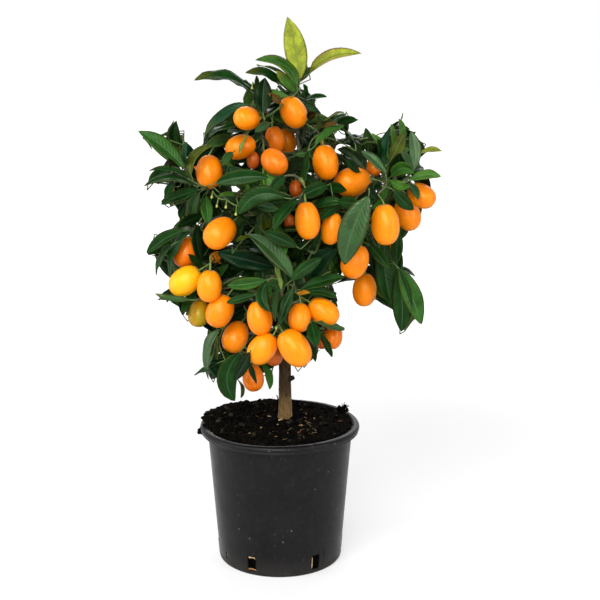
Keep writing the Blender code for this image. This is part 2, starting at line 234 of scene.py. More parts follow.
def soil_material(name, dark, light, speck):
    s = Shade(name, 1.0, 0.04)
    o = s.obj()
    c = s.mix(s.step(s.noise(o, 160.0, 6.0, 0.7), 0.40, 0.72), dark, light)
    c = s.mix(s.step(s.noise(o, 520.0, 3.0, 0.7), 0.62, 0.72), c, speck)
    s.colour(c)
    n = s.bump(s.noise(o, 420.0, 6.0, 0.75), 0.9, 0.0022)
    s.bump(s.noise(s.scaled(o, (1500.0, 500.0, 900.0)), 1.0, 3.0, 0.7), 0.5, 0.0008, n)
    return s.mat


def bark_material(name, dark, mid, pale, stretch=10.0):
    s = Shade(name, 0.82, 0.16)
    o = s.obj()
    grain = s.noise(s.scaled(o, (620.0, 620.0, 620.0 / stretch)), 1.0, 5.0, 0.62, 0.4)
    blot = s.noise(s.scaled(o, (170.0, 170.0, 95.0)), 1.0, 4.0, 0.65)
    c = s.mix(s.step(grain, 0.36, 0.66), dark, mid)
    c = s.mix(s.math("MULTIPLY", s.step(blot, 0.48, 0.70), 0.75), c, pale)
    z = s.node("ShaderNodeSeparateXYZ")
    s.link(o, z.inputs["Vector"])
    # partly painted shade: from 174 to 214 mm up the bark darkens to nearly black, for the crown's shade on the upper
    # trunk and boughs as well as for darker bark
    high = s.step(z.outputs["Z"], 0.174, 0.214)
    c = s.mix(s.math("MULTIPLY", high, 0.93), c, scale_colour(dark, 0.20))
    c = s.mix(s.math("MULTIPLY", s.step(z.outputs["Z"], 0.33, 0.47), 0.75), c, (0.040, 0.058, 0.018))
    s.colour(c)
    s.roughness(s.step(grain, 0.3, 0.7, 0.88, 0.70))
    n = s.bump(grain, 0.65, 0.0011)
    s.bump(s.noise(o, 260.0, 4.0, 0.6), 0.35, 0.0010, n)
    return s.mat


def twig_material(name, colour, pale):
    s = Shade(name, 0.55, 0.40)
    o = s.obj()
    c = s.mix(s.step(s.noise(o, 120.0, 4.0, 0.6), 0.35, 0.70), colour, pale)
    s.colour(c)
    s.bump(s.noise(s.scaled(o, (900.0, 900.0, 300.0)), 1.0, 3.0, 0.6), 0.35, 0.0004)
    return s.mat


def leaf_material(name, base, rough, rib, aged=(0.10, 0.12, 0.012), gloss=0.5, paler=1.35):
    """Blade: darker and lighter patches, fine side veins running out from the midrib, an aged margin or tip, and a
    painted light rim along the edge.
    """
    s = Shade(name, rough, gloss)
    s.bsdf.inputs["Specular Tint"].default_value = (0.80, 1.0, 0.66, 1.0)
    o = s.obj()
    u, v = s.uv("blade")
    off = s.math("ABSOLUTE", s.math("SUBTRACT", u, 0.5))
    c = s.mix(s.step(s.noise(o, 62.0, 3.0, 0.6), 0.32, 0.70), scale_colour(base, 0.66), scale_colour(base, 1.34))
    vein = s.math("SINE", s.math("MULTIPLY", s.math("SUBTRACT", v, s.math("MULTIPLY", off, 0.36)), 82.0))
    vein_line = s.step(vein, 0.72, 1.0)
    c = s.mix(s.math("MULTIPLY", vein_line, 0.22), c, scale_colour(base, paler * 1.25))
    near = s.step(off, 0.085, 0.012)
    c = s.mix(s.math("MULTIPLY", near, 0.42), c, rib)
    c = s.mix(s.attr("aged"), c, aged)
    s.colour(c)
    s.roughness(s.step(s.noise(o, 140.0, 3.0, 0.6), 0.3, 0.7, rough - 0.05, rough + 0.07))
    n = s.bump(s.noise(o, 700.0, 2.0, 0.5), 0.12, 0.0003)
    s.bump(vein, 0.14, 0.0006, n)
    return s.mat


def under_material(name, base, aged=(0.16, 0.17, 0.03)):
    s = Shade(name, 0.60, 0.22)
    o = s.obj()
    u, v = s.uv("blade")
    off = s.math("ABSOLUTE", s.math("SUBTRACT", u, 0.5))
    c = s.mix(s.step(s.noise(o, 90.0, 3.0, 0.6), 0.30, 0.72), scale_colour(base, 0.86), scale_colour(base, 1.15))
    vein = s.math("SINE", s.math("MULTIPLY", s.math("SUBTRACT", v, s.math("MULTIPLY", off, 0.36)), 82.0))
    c = s.mix(s.math("MULTIPLY", s.step(vein, 0.6, 1.0), 0.35), c, scale_colour(base, 1.5))
    c = s.mix(s.attr("aged"), c, aged)
    s.colour(c)
    s.bump(vein, 0.30, 0.0006)
    return s.mat


def rib_material(name, base):
    s = Shade(name, 0.5, 0.4)
    o = s.obj()
    s.colour(s.mix(s.noise(o, 300.0, 2.0, 0.5), scale_colour(base, 0.85), scale_colour(base, 1.15)))
    s.bump(s.noise(o, 900.0, 2.0, 0.5), 0.2, 0.0003)
    return s.mat


def peel_material(name, base, blush, stem_end, blush_amount=0.5, stem_amount=0.5):
    """Peel: fine oil glands, slow blotches, and a greener or darker shoulder round the stalk."""
    s = Shade(name, 0.38, 0.62)
    s.bsdf.inputs["Specular Tint"].default_value = (1.0, 0.78, 0.38, 1.0)
    s.bsdf.inputs["Subsurface Weight"].default_value = 0.38
    s.bsdf.inputs["Subsurface Radius"].default_value = (0.010, 0.0030, 0.0005)
    s.bsdf.inputs["Subsurface Scale"].default_value = 0.6
    o = s.obj()
    _, v = s.uv("blade")
    c = s.mix(s.math("MULTIPLY", s.step(s.noise(o, 38.0, 3.0, 0.55), 0.40, 0.75), blush_amount), base, blush)
    c = s.mix(s.math("MULTIPLY", s.step(v, 0.80, 1.0), stem_amount), c, stem_end)
    pores = s.voronoi(o, 900.0, randomness=0.9)
    dots = s.step(pores.outputs["Distance"], 0.32, 0.10)
    c = s.mix(s.math("MULTIPLY", dots, 0.40), c, scale_colour(blush, 0.80))
    c = s.mix(s.math("MULTIPLY", s.step(s.noise(o, 420.0, 3.0, 0.6), 0.45, 0.70), 0.30), c, blush)
    s.colour(c)
    s.roughness(s.step(s.noise(o, 90.0, 3.0, 0.5), 0.3, 0.7, 0.35, 0.43))
    n = s.bump(dots, -0.34, 0.0008)
    s.bump(s.noise(o, 130.0, 3.0, 0.5), 0.10, 0.0015, n)
    return s.mat


def root_material(name, a, b):
    s = Shade(name, 0.8, 0.25)
    o = s.obj()
    s.colour(s.mix(s.step(s.noise(o, 260.0, 4.0, 0.6), 0.35, 0.7), a, b))
    s.bump(s.noise(s.scaled(o, (500.0, 500.0, 1400.0)), 1.0, 4.0, 0.6), 0.6, 0.0008)
    return s.mat


# tone: blade colour, roughness, midrib colour, colour of the aged part and of the painted edge light, gloss
TONES = {
    # vdark: a near-black copy of the dark blade, painted shade for leaves deep in the crown
    "vdark": ((0.0012, 0.0100, 0.0012), 0.36, (0.004, 0.018, 0.003), (0.022, 0.026, 0.003), 0.11),
    "dark": ((0.0042, 0.0285, 0.0032), 0.35, (0.011, 0.047, 0.007), (0.050, 0.058, 0.006), 0.15),
    "mid": ((0.0165, 0.0700, 0.0080), 0.37, (0.036, 0.105, 0.016), (0.100, 0.120, 0.010), 0.19),
    "bright": ((0.0420, 0.1320, 0.0140), 0.40, (0.080, 0.185, 0.028), (0.180, 0.200, 0.024), 0.22),
    "grey": ((0.0150, 0.0520, 0.0110), 0.37, (0.030, 0.076, 0.018), (0.080, 0.088, 0.016), 0.50),
    "teal": ((0.0034, 0.0300, 0.0095), 0.35, (0.010, 0.047, 0.016), (0.040, 0.056, 0.012), 0.19),
    "olive": ((0.0520, 0.0700, 0.0038), 0.42, (0.080, 0.100, 0.008), (0.150, 0.120, 0.016), 0.18),
    "young": ((0.2250, 0.2600, 0.0200), 0.46, (0.130, 0.170, 0.014), (0.260, 0.130, 0.050), 0.20),
    "pale": ((0.1500, 0.2200, 0.0450), 0.46, (0.200, 0.270, 0.065), (0.230, 0.200, 0.050), 0.22),
    "brown": ((0.0850, 0.0500, 0.0090), 0.52, (0.120, 0.076, 0.016), (0.150, 0.075, 0.012), 0.18),
    "rust": ((0.3600, 0.1500, 0.0060), 0.52, (0.320, 0.150, 0.016), (0.280, 0.090, 0.008), 0.18),
}
TONE_NAMES = list(TONES)
M_LEAF = {t: leaf_material("leaf_" + t, c, r, rib, aged, gloss) for t, (c, r, rib, aged, gloss) in TONES.items()}
M_RIB = {t: rib_material("rib_" + t, TONES[t][2]) for t in TONES}
M_UNDER = {t: under_material("under_" + t, tuple(0.45 * a + 0.55 * b for a, b in zip(TONES[t][0], (0.036, 0.082, 0.020))))
           for t in TONES}

# painted_shade_orange: a dark brownish orange, painted shade for the small fruit deep in the crown
PEELS = {
    "orange": ((0.865, 0.240, 0.0004), (0.830, 0.160, 0.0003), (0.660, 0.215, 0.002), 0.5, 0.45),
    # deep: a darker orange; on the traced fruit set further back it is partly painted shade, on the back fruit it is
    # dealt at random
    "deep": ((0.740, 0.165, 0.0010), (0.660, 0.120, 0.0010), (0.460, 0.120, 0.002), 0.5, 0.5),
    "light": ((0.880, 0.272, 0.0006), (0.850, 0.200, 0.0004), (0.700, 0.260, 0.004), 0.6, 0.4),
    "yellow": ((0.890, 0.440, 0.0040), (0.860, 0.300, 0.0024), (0.560, 0.460, 0.012), 0.6, 0.7),
    "turning": ((0.250, 0.225, 0.0035), (0.640, 0.205, 0.0015), (0.200, 0.200, 0.006), 0.9, 0.7),
    "painted_shade_orange": ((0.480, 0.085, 0.0060), (0.360, 0.055, 0.0050), (0.250, 0.070, 0.010), 0.6, 0.5),
}
PEEL_NAMES = list(PEELS)
M_PEEL = {k: peel_material("peel_" + k, *v) for k, v in PEELS.items()}

M_POT = pot_material()
M_SOIL = soil_material("soil", (0.0005, 0.0004, 0.0003), (0.0075, 0.0052, 0.0032), (0.032, 0.021, 0.012))
M_CLOD = soil_material("soil_clods", (0.0006, 0.0005, 0.0004), (0.0085, 0.0060, 0.0038), (0.036, 0.024, 0.014))
M_MOSS = soil_material("soil_fibre", (0.0090, 0.0082, 0.0052), (0.0420, 0.0360, 0.0240), (0.090, 0.078, 0.052))
M_CHIP = root_material("soil_chips", (0.200, 0.120, 0.055), (0.420, 0.290, 0.150))
M_REDCHIP = root_material("soil_red_chips", (0.130, 0.030, 0.016), (0.230, 0.062, 0.026))
M_ROOT = root_material("roots", (0.420, 0.250, 0.110), (0.660, 0.480, 0.260))
M_BARK = bark_material("bark", (0.120, 0.070, 0.026), (0.235, 0.140, 0.054), (0.380, 0.245, 0.105), 4.5)
M_BOUGH = bark_material("bough_bark", (0.040, 0.036, 0.018), (0.092, 0.080, 0.040), (0.150, 0.130, 0.070), 6.0)
M_TWIG_OLD = twig_material("twig_old", (0.045, 0.048, 0.020), (0.100, 0.096, 0.045))
M_TWIG = twig_material("twig_green", (0.055, 0.110, 0.022), (0.105, 0.160, 0.040))
M_STALK = twig_material("stalk_green", (0.090, 0.150, 0.024), (0.170, 0.230, 0.045))
M_BUD = twig_material("bud", (0.300, 0.350, 0.060), (0.420, 0.440, 0.110))


# ---------------------------------------------------------------- mesh helpers
def add_piece(name, verts, faces, mats, face_mats=None, smooth=True, uvs=None, aged=None):
    """A joined mesh piece. faces: (n, 3) or (n, 4) arrays in a list; uvs: per vertex (u, v) kept in the map 'blade'."""
    verts = np.asarray(verts, dtype=np.float64)
    groups = [np.asarray(f, dtype=np.int64) for f in faces if len(f)]
    loops = np.concatenate([g.ravel() for g in groups])
    counts = np.concatenate([np.full(len(g), g.shape[1]) for g in groups])
    starts = np.concatenate([[0], np.cumsum(counts)[:-1]])
    mesh = bpy.data.meshes.new(name)
    mesh.vertices.add(len(verts))
    mesh.vertices.foreach_set("co", verts.ravel())
    mesh.loops.add(len(loops))
    mesh.loops.foreach_set("vertex_index", loops.astype(np.int32))
    mesh.polygons.add(len(counts))
    mesh.polygons.foreach_set("loop_start", starts.astype(np.int32))
    mesh.polygons.foreach_set("loop_total", counts.astype(np.int32))
    for m in mats:
        mesh.materials.append(m)
    if face_mats is not None:
        mesh.polygons.foreach_set("material_index", np.concatenate(face_mats).astype(np.int32))
    mesh.polygons.foreach_set("use_smooth", np.full(len(counts), smooth, dtype=bool))
    if uvs is not None:
        layer = mesh.uv_layers.new(name="blade")
        layer.data.foreach_set("uv", np.asarray(uvs)[loops].ravel().astype(np.float32))
    if aged is not None:
        a = mesh.attributes.new("aged", "FLOAT", "POINT")
        a.data.foreach_set("value", np.asarray(aged, dtype=np.float32))
    mesh.update()
    mesh.validate()
    obj = bpy.data.objects.new(name, mesh)
    bpy.context.scene.collection.objects.link(obj)
    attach(obj, "root")
    return obj


class Soup:
    """Collects shapes of one kind and makes one piece of them."""

    def __init__(self):
        self.v, self.q, self.t, self.qm, self.tm, self.uv, self.aged = [], [], [], [], [], [], []
        self.n = 0

    def add(self, verts, quads=None, tris=None, qm=0, tm=0, uv=None, aged=None):
        verts = np.asarray(verts, dtype=np.float64)
        if quads is not None and len(quads):
            self.q.append(np.asarray(quads) + self.n)
            self.qm.append(np.broadcast_to(qm, len(quads)))
        if tris is not None and len(tris):
            self.t.append(np.asarray(tris) + self.n)
            self.tm.append(np.broadcast_to(tm, len(tris)))
        self.v.append(verts)
        self.uv.append(uv if uv is not None else np.full((len(verts), 2), 0.5))
        self.aged.append(aged if aged is not None else np.zeros(len(verts)))
        self.n += len(verts)

    def piece(self, name, mats, slot, replaces=(), smooth=True, uvs=False, aged=False):
        faces, fm = [], []
        if self.q:
            faces.append(np.concatenate(self.q))
            fm.append(np.concatenate(self.qm))
        if self.t:
            faces.append(np.concatenate(self.t))
            fm.append(np.concatenate(self.tm))
        obj = add_piece(name, np.concatenate(self.v), faces, mats, fm, smooth,
                        np.concatenate(self.uv) if uvs else None, np.concatenate(self.aged) if aged else None)
        if replaces:
            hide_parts(*replaces)
        return obj


def frames_along(pts):
    """Tangents and two steady side vectors along a line."""
    pts = np.asarray(pts, dtype=float)
    tan = np.gradient(pts, axis=0)
    tan /= np.maximum(np.linalg.norm(tan, axis=1), 1e-12)[:, None]
    ref = np.array([0.0, 1.0, 0.0]) if abs(tan[0][1]) < 0.8 else np.array([1.0, 0.0, 0.0])
    a = np.empty_like(tan)
    for i, t in enumerate(tan):
        ref = ref - t * ref.dot(t)
        ref = unit(ref)
        a[i] = ref
    return tan, a, np.cross(tan, a)


def tube(soup, pts, radii, sides=6, mat=0, relief=None, caps=True):
    """A limb swept along points, closed at both ends."""
    pts = np.asarray(pts, dtype=float)
    n = len(pts)
    _, a, b = frames_along(pts)
    ang = np.linspace(0, 2 * pi, sides, endpoint=False)
    ring = np.cos(ang)[None, :, None] * a[:, None, :] + np.sin(ang)[None, :, None] * b[:, None, :]
    r = np.asarray(radii, dtype=float)[:, None] * np.ones((1, sides))
    if relief is not None:
        r = relief(pts, ang, r)
    verts = (pts[:, None, :] + ring * r[:, :, None]).reshape(-1, 3)
    i = np.arange(n - 1)[:, None] * sides
    j = np.arange(sides)[None, :]
    k = (j + 1) % sides
    quads = np.stack([i + j, i + k, i + k + sides, i + j + sides], -1).reshape(-1, 4)
    tris = []
    if caps:
        verts = np.vstack([verts, pts[0], pts[-1]])
        c0, c1 = n * sides, n * sides + 1
        jj = np.arange(sides)
        tris = np.concatenate([np.stack([np.full(sides, c0), (jj + 1) % sides, jj], 1),
                               np.stack([np.full(sides, c1), (n - 1) * sides + jj,
                                         (n - 1) * sides + (jj + 1) % sides], 1)])
    soup.add(verts, quads, tris, mat, mat)


def spline(points, steps):
    """Points read from one smooth curve through the given points."""
    p = [np.asarray(q, dtype=float) for q in points]
    p = [p[0] * 2 - p[1]] + p + [p[-1] * 2 - p[-2]]
    out = []
    for i in range(1, len(p) - 2):
        a, b, c, d = p[i - 1:i + 3]
        for k in range(steps):
            t = k / steps
            out.append(0.5 * ((2 * b) + (c - a) * t + (2 * a - 5 * b + 4 * c - d) * t * t
                              + (3 * b - 3 * c + d - a) * t ** 3))
    out.append(p[-2])
    return np.array(out)


def nz(x, y, z):
    return noise.noise(Vector((x, y, z)))


# ---------------------------------------------------------------- pot
POT_RIM_R, POT_RIM_TOP, POT_RIM_H = 0.0950, 0.1655, 0.0075
POT_NECK_R, POT_BASE_R, POT_WALL, POT_FLOOR = 0.0862, 0.0735, 0.0016, 0.0022
RIM_LOW = POT_RIM_TOP - POT_RIM_H
SLOT_ANGLES = [-85.6 + 60.0 * k for k in range(6)]
NARROW_SLOT_ANGLES = (-57.5, 122.5)


def pot_wall_r(z):
    return POT_BASE_R + (POT_NECK_R - POT_BASE_R) * z / RIM_LOW


def lathe(name, profile, steps, wobble=None):
    """A closed turned body; the profile runs down the outside and up the inside and meets the axis on neither side."""
    profile = np.asarray(profile)
    n = len(profile)
    ang = np.arange(steps) * 2 * pi / steps
    verts = np.empty((steps, n, 3))
    for i, a in enumerate(ang):
        r, z = profile[:, 0].copy(), profile[:, 1].copy()
        if wobble:
            r, z = wobble(a, r, z)
        verts[i, :, 0], verts[i, :, 1], verts[i, :, 2] = r * sin(a), -r * cos(a), z
    i = np.arange(steps)[:, None] * n
    inext = ((np.arange(steps) + 1) % steps)[:, None] * n
    j = np.arange(n)[None, :]
    k = (j + 1) % n
    quads = np.stack([i + j, i + k, inext + k, inext + j], -1).reshape(-1, 4)
    return verts.reshape(-1, 3), quads


def build_pot():
    def arc(cx, cz, r, a0, a1, n):
        return [(cx + r * cos(radians(a0 + (a1 - a0) * t / n)), cz + r * sin(radians(a0 + (a1 - a0) * t / n)))
                for t in range(n + 1)]
    top = POT_RIM_TOP
    out = [(0.0868, top - 0.0016), (0.0874, top - 0.0007), (0.0888, top - 0.0001)]
    out += arc(POT_RIM_R - 0.0040, top - 0.0040, 0.0040, 92, -38, 11)          # rolled bead
    out += [(0.0936, top - 0.0067), (0.0934, top - 0.0070), (0.0936, top - 0.0073)]   # groove under it
    out += arc(0.0930, top - 0.0079, 0.0010, 40, -80, 5)                       # lower bead line
    out += [(0.0915, RIM_LOW - 0.0012), (0.0893, RIM_LOW - 0.0010)]
    out += [(pot_wall_r(RIM_LOW - 0.0016) + 0.0004, RIM_LOW - 0.0012), (pot_wall_r(RIM_LOW - 0.003), RIM_LOW - 0.0030)]
    out += [(pot_wall_r(z), z) for z in (0.1500, 0.1400, 0.1250, 0.1100, 0.0950, 0.0800, 0.0650, 0.0500, 0.0380, 0.0270,
                                         0.0180, 0.0100, 0.0060)]
    out += [(pot_wall_r(0.0045) + 0.0003, 0.0045), (pot_wall_r(0.0036) + 0.00045, 0.0036)]  # fine line above the foot
    out += arc(POT_BASE_R - 0.0019, 0.0022, 0.0022, 0, -90, 6)
    out += [(0.0600, 0.0), (0.0560, 0.0006), (0.0300, 0.0006), (0.0002, 0.0006)]
    inn = [(0.0002, POT_FLOOR), (POT_BASE_R - POT_WALL - 0.0030, POT_FLOOR),
           (POT_BASE_R - POT_WALL - 0.0008, POT_FLOOR + 0.0010)]
    inn += [(pot_wall_r(z) - POT_WALL, z) for z in (0.0060, 0.0240, 0.0600, 0.1000, 0.1400, 0.1550)]
    inn += [(POT_NECK_R - POT_WALL + 0.0012, RIM_LOW + 0.0020), (0.0862, RIM_LOW + 0.0045)]
    profile = out + inn

    def wobble(a, r, z):
        # thin moulded plastic: barely out of round, with a small nick in the rim at the right
        squash = 1.0 + 0.0022 * cos(2 * a + 0.7) + 0.0012 * cos(3 * a + 1.9)
        k = np.clip(z / top, 0, 1)
        r = r * (1 + (squash - 1) * k)
        z = z + 0.0005 * np.clip((z - 0.15) / 0.015, 0, 1) * sin(3 * a + 0.4)
        nick = max(0.0, 1 - abs(math.degrees(a) - 24.5) / 1.3)
        high = np.clip((z - (top - 0.0048)) / 0.003, 0, 1)
        return r - 0.0010 * nick * high, z - 0.0007 * nick * high

    verts, quads = lathe("pot", profile, 220, wobble)
    mesh = bpy.data.meshes.new("pot_body")
    mesh.from_pydata(verts.tolist(), [], quads.tolist())
    mesh.materials.append(M_POT)
    pot = bpy.data.objects.new("pot_body", mesh)
    bpy.context.scene.collection.objects.link(pot)
    bm = bmesh.new()
    bm.from_mesh(mesh)
    bmesh.ops.recalc_face_normals(bm, faces=bm.faces)
    bm.to_mesh(mesh)
    bm.free()

    cutters = []
    for angles, width, (z0, z1) in ((SLOT_ANGLES, 0.0108, (0.0045, 0.0235)), (NARROW_SLOT_ANGLES, 0.0036, (0.0080, 0.0175))):
        for angle in angles:
            bm = bmesh.new()
            bmesh.ops.create_cube(bm, size=1.0)
            bmesh.ops.scale(bm, vec=(width, 0.014, z1 - z0), verts=bm.verts)
            bmesh.ops.bevel(bm, geom=[e for e in bm.edges if abs((e.verts[0].co - e.verts[1].co).normalized().y) > 0.9],
                            offset=0.0011, segments=3, affect="EDGES")
            cm = bpy.data.meshes.new("cutter")
            bm.to_mesh(cm)
            bm.free()
            c = bpy.data.objects.new("cutter", cm)
            bpy.context.scene.collection.objects.link(c)
            t = radians(angle)
            c.location = (sin(t) * POT_BASE_R, -cos(t) * POT_BASE_R, (z0 + z1) / 2)
            c.rotation_euler = (0, 0, t)
            cutters.append(c)
            mod = pot.modifiers.new("cut", "BOOLEAN")
            mod.operation = "DIFFERENCE"
            mod.solver = "EXACT"
            mod.object = c
    bpy.context.view_layer.update()
    graph = bpy.context.evaluated_depsgraph_get()
    done = bpy.data.meshes.new_from_object(pot.evaluated_get(graph))
    pot.modifiers.clear()
    pot.data = done
    for c in cutters:
        bpy.data.objects.remove(c, do_unlink=True)
    done.shade_smooth()
    done.set_sharp_from_angle(angle=radians(42))
    pot.data.materials.clear()
    pot.data.materials.append(M_POT)
    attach(pot, "root")
    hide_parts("pot")

    # moulded lips round the slots, a thin upright ridge beside one of them
    lips = Soup()
    for angle in SLOT_ANGLES:
        t = radians(angle)
        side = np.array([cos(t), sin(t), 0.0])
        outw = np.array([sin(t), -cos(t), 0.0])
        for s in (-1, 1):
            line = []
            for z in np.linspace(0.0052, 0.0228, 8):
                x = s * 0.0060
                r = sqrt(max(pot_wall_r(z) ** 2 - x * x, 0))
                line.append(outw * (r + 0.00005) + side * x + np.array([0, 0, z]))
            tube(lips, line, [0.00045] * len(line), 6)
    t = radians(-85.6 + 120.0 + 9.6)
    line = [np.array([sin(t), -cos(t), 0.0]) * (pot_wall_r(z) + 0.0001) + np.array([0, 0, z])
            for z in np.linspace(0.0055, 0.0265, 8)]
    tube(lips, line, [0.0006] * 8, 6)
    lips.piece("pot_slot_lips", [M_POT], "pot")


# ---------------------------------------------------------------- soil
SOIL_CENTRE_Z, SOIL_EDGE_Z, GAP = 0.1706, 0.1646, 0.0005


def soil_level(x, y):
    r = sqrt(x * x + y * y)
    t = min(1.0, max(0.0, (r - 0.014) / (POT_NECK_R - 0.014)))
    z = SOIL_CENTRE_Z + (SOIL_EDGE_Z - SOIL_CENTRE_Z) * t * t
    lump = nz(x * 55, y * 55, 3.1) * 0.0016
    bank = 0.0030 * max(0.0, cos(math.atan2(y, x) - radians(150))) * t
    near = min(1.0, max(0.0, (r - 0.012) / 0.012))
    fine = nz(x * 170, y * 170, 7.7) * 0.0016 + nz(x * 420, y * 420, 1.3) * 0.0009 + nz(x * 900, y * 900, 4.9) * 0.0004
    ridge = abs(nz(x * 110, y * 110, 9.2)) * 0.0022
    return z + (lump + bank) * near + (fine + ridge) * min(1.0, max(0.2, (r - 0.007) / 0.010))


def clod(soup, at_point, size, flat, mat, seed, level=2):
    """One rough lump: a dented ball."""
    bm = bmesh.new()
    bmesh.ops.create_icosphere(bm, subdivisions=level, radius=1.0)
    verts = np.array([v.co[:] for v in bm.verts])
    tris = np.array([[v.index for v in f.verts] for f in bm.faces])
    bm.free()
    k = np.array([1 + 0.42 * nz(*(v * 1.6 + seed)) + 0.22 * nz(*(v * 4.1 + seed * 2)) for v in verts])
    verts = verts * k[:, None] * np.array(flat) * size
    a = seed * 2.39
    rot = np.array([[cos(a), -sin(a), 0], [sin(a), cos(a), 0], [0, 0, 1]])
    soup.add(verts @ rot.T + np.asarray(at_point), None, tris, 0, mat)


def build_soil():
    soup = Soup()
    rings, steps = 74, 190
    rr = np.linspace(0.0, 1.0, rings) ** 0.92 * 0.0862
    verts = [(0.0, 0.0, SOIL_CENTRE_Z)]
    for r in rr[1:]:
        for k in range(steps):
            a = 2 * pi * (k + 0.5 * (int(r * 1e5) % 2)) / steps
            x, y = r * cos(a), r * sin(a)
            z = soil_level(x, y)
            z += 0.0011 * min(1.0, max(0.0, (r - 0.060) / 0.020))
            if r > 0.0845:
                z -= (r - 0.0845) * 1.0
            verts.append((x, y, z))
    n_top = len(verts)
    for z in (0.1560, 0.1200, 0.0700, 0.0300, 0.0060):
        for k in range(steps):
            a = 2 * pi * k / steps
            r = pot_wall_r(z) - POT_WALL - 0.0009
            verts.append((r * cos(a), r * sin(a), z))
    for k in range(steps):
        a = 2 * pi * k / steps
        verts.append(((POT_BASE_R - 0.0055) * cos(a), (POT_BASE_R - 0.0055) * sin(a), POT_FLOOR + 0.0006))
    verts.append((0.0, 0.0, POT_FLOOR + 0.0006))
    total_rings = rings - 1 + 6
    j = np.arange(steps)
    k = (j + 1) % steps
    tris = [np.stack([np.zeros(steps, int), 1 + j, 1 + k], 1),
            np.stack([np.full(steps, len(verts) - 1), 1 + (total_rings - 1) * steps + k,
                      1 + (total_rings - 1) * steps + j], 1)]
    i = np.arange(total_rings - 1)[:, None] * steps + 1
    quads = np.stack([i + j, i + j + steps, i + k + steps, i + k], -1).reshape(-1, 4)
    soup.add(verts, quads, np.concatenate(tris))
    soup.piece("soil_bed", [M_SOIL], "soil", ["soil"])

    lumps, fibres = Soup(), Soup()
    r0 = random.Random(11)
    for k in range(560):
        r = 0.0845 * sqrt(r0.random())
        a = r0.random() * 2 * pi
        if r < 0.013:
            continue
        x, y = r * cos(a), r * sin(a)
        size = r0.choice([0.0009, 0.0012, 0.0016, 0.0022, 0.0030])
        mat = r0.choices([0, 1, 2, 3], [62, 11, 3, 1])[0]
        if x > 0.012 and x < 0.052 and y < -0.010 and r0.random() < 0.55:
            mat = 1
        if mat >= 2:
            size *= 0.62
        flat = (1.0, r0.uniform(0.55, 1.0), r0.uniform(0.45, 0.85)) if mat < 2 else (1.3, 0.55, 0.35)
        clod(lumps, (x, y, soil_level(x, y) + size * r0.uniform(-0.15, 0.45)), size, flat, mat, k + 0.37, 2 if size > 0.0018 else 1)
    # the bank at the left that stands above the rim, and a rough clod at the right
    for k in range(64):
        a = radians(r0.uniform(112, 236))
        r = r0.uniform(0.052, 0.0830)
        x, y = r * cos(a), r * sin(a)
        size = r0.uniform(0.0022, 0.0048)
        clod(lumps, (x, y, soil_level(x, y) + size * 0.35), size, (1.0, r0.uniform(0.6, 1.0), r0.uniform(0.5, 0.9)),
             r0.choices([0, 1], [8, 1])[0], k + 41.3)
    # soil heaped over the rim at the left and back left, and crumbs caught along the rest of it
    for k in range(150):
        a = radians(r0.uniform(124, 198))
        reach_out = 1.0 - abs(math.degrees(a) - 163) / 60
        r = r0.uniform(0.0815, 0.0862 + 0.0075 * reach_out)
        x, y = r * cos(a), r * sin(a)
        size = r0.uniform(0.0016, 0.0040) * (0.75 + 0.4 * reach_out)
        clod(lumps, (x, y, 0.1662 + size * 0.15 + 0.0022 * reach_out * (0.0965 - r) / 0.015), size,
             (1.0, r0.uniform(0.6, 1.0), r0.uniform(0.45, 0.8)), r0.choices([0, 1], [9, 1])[0], k + 83.9)
    for k in range(110):
        a = r0.random() * 2 * pi
        r = r0.uniform(0.0825, 0.0872)
        x, y = r * cos(a), r * sin(a)
        size = r0.uniform(0.0008, 0.0019)
        clod(lumps, (x, y, 0.1650 + size * 0.3), size, (1.0, 0.8, 0.7), 0, k + 7.7, 1)
    for px, py, yy, size in ((342, 409, 0.036, 0.0040), (345, 406, 0.038, 0.0022), (339, 407, 0.040, 0.0026),
                             (347, 409, 0.034, 0.0020), (206, 426, -0.010, 0.0042), (202, 429, -0.014, 0.0036),
                             (199, 430.5, -0.016, 0.0024), (211, 420, -0.002, 0.0044), (217, 414, 0.006, 0.0042)):
        p = at(px, py, yy)
        clod(lumps, p, size, (1.0, 0.8, 0.85), 0, px * 0.13)
        clod(lumps, (p[0], p[1], p[2] - size * 0.9), size * 1.2, (1.0, 0.9, 0.8), 0, px * 0.29)
    for px, py, yy, mat in ((223, 414, 0.008, 2), (278, 427, -0.030, 2), (301, 427, -0.034, 2), (299, 438, -0.055, 3),
                            (269, 414, 0.000, 2), (261, 431, -0.040, 2), (259, 400, 0.050, 3)):
        p = at(px, py, yy)
        p[2] = soil_level(p[0], p[1]) + 0.0016
        clod(lumps, p, 0.0017, (1.5, 0.6, 0.45), mat, px * 0.41)
    lumps.piece("soil_clods", [M_CLOD, M_MOSS, M_CHIP, M_REDCHIP], "soil")
    # spiky fibres on the clod at the right
    knot = at(343, 408, 0.037)
    for k in range(11):
        d = unit(np.array([r0.gauss(0.3, 0.8), r0.gauss(0, 0.5), r0.uniform(0.0, 1.0)]))
        line = spline([knot, knot + d * 0.004, knot + d * 0.0085 + np.array([0, 0, -0.0006])], 3)
        tube(fibres, line, np.linspace(0.0008, 0.00025, len(line)), 4, 0)
    for k in range(430):
        r = 0.083 * sqrt(r0.random())
        a = r0.random() * 2 * pi
        if r < 0.012:
            continue
        p = np.array([r * cos(a), r * sin(a), 0.0])
        p[2] = soil_level(p[0], p[1]) + 0.0003
        d = np.array([r0.gauss(0, 1), r0.gauss(0, 1), r0.uniform(0.0, 0.9)])
        d = unit(d)
        length = r0.uniform(0.003, 0.009)
        bend = np.array([r0.gauss(0, 1), r0.gauss(0, 1), -0.6]) * length * 0.35
        line = spline([p, p + d * length * 0.5, p + d * length + bend], 3)
        tube(fibres, line, np.linspace(0.00034, 0.00012, len(line)), 4, r0.choices([0, 1, 2], [10, 7, 1])[0])
    fibres.piece("soil_fibres", [M_CLOD, M_MOSS, M_CHIP], "soil")

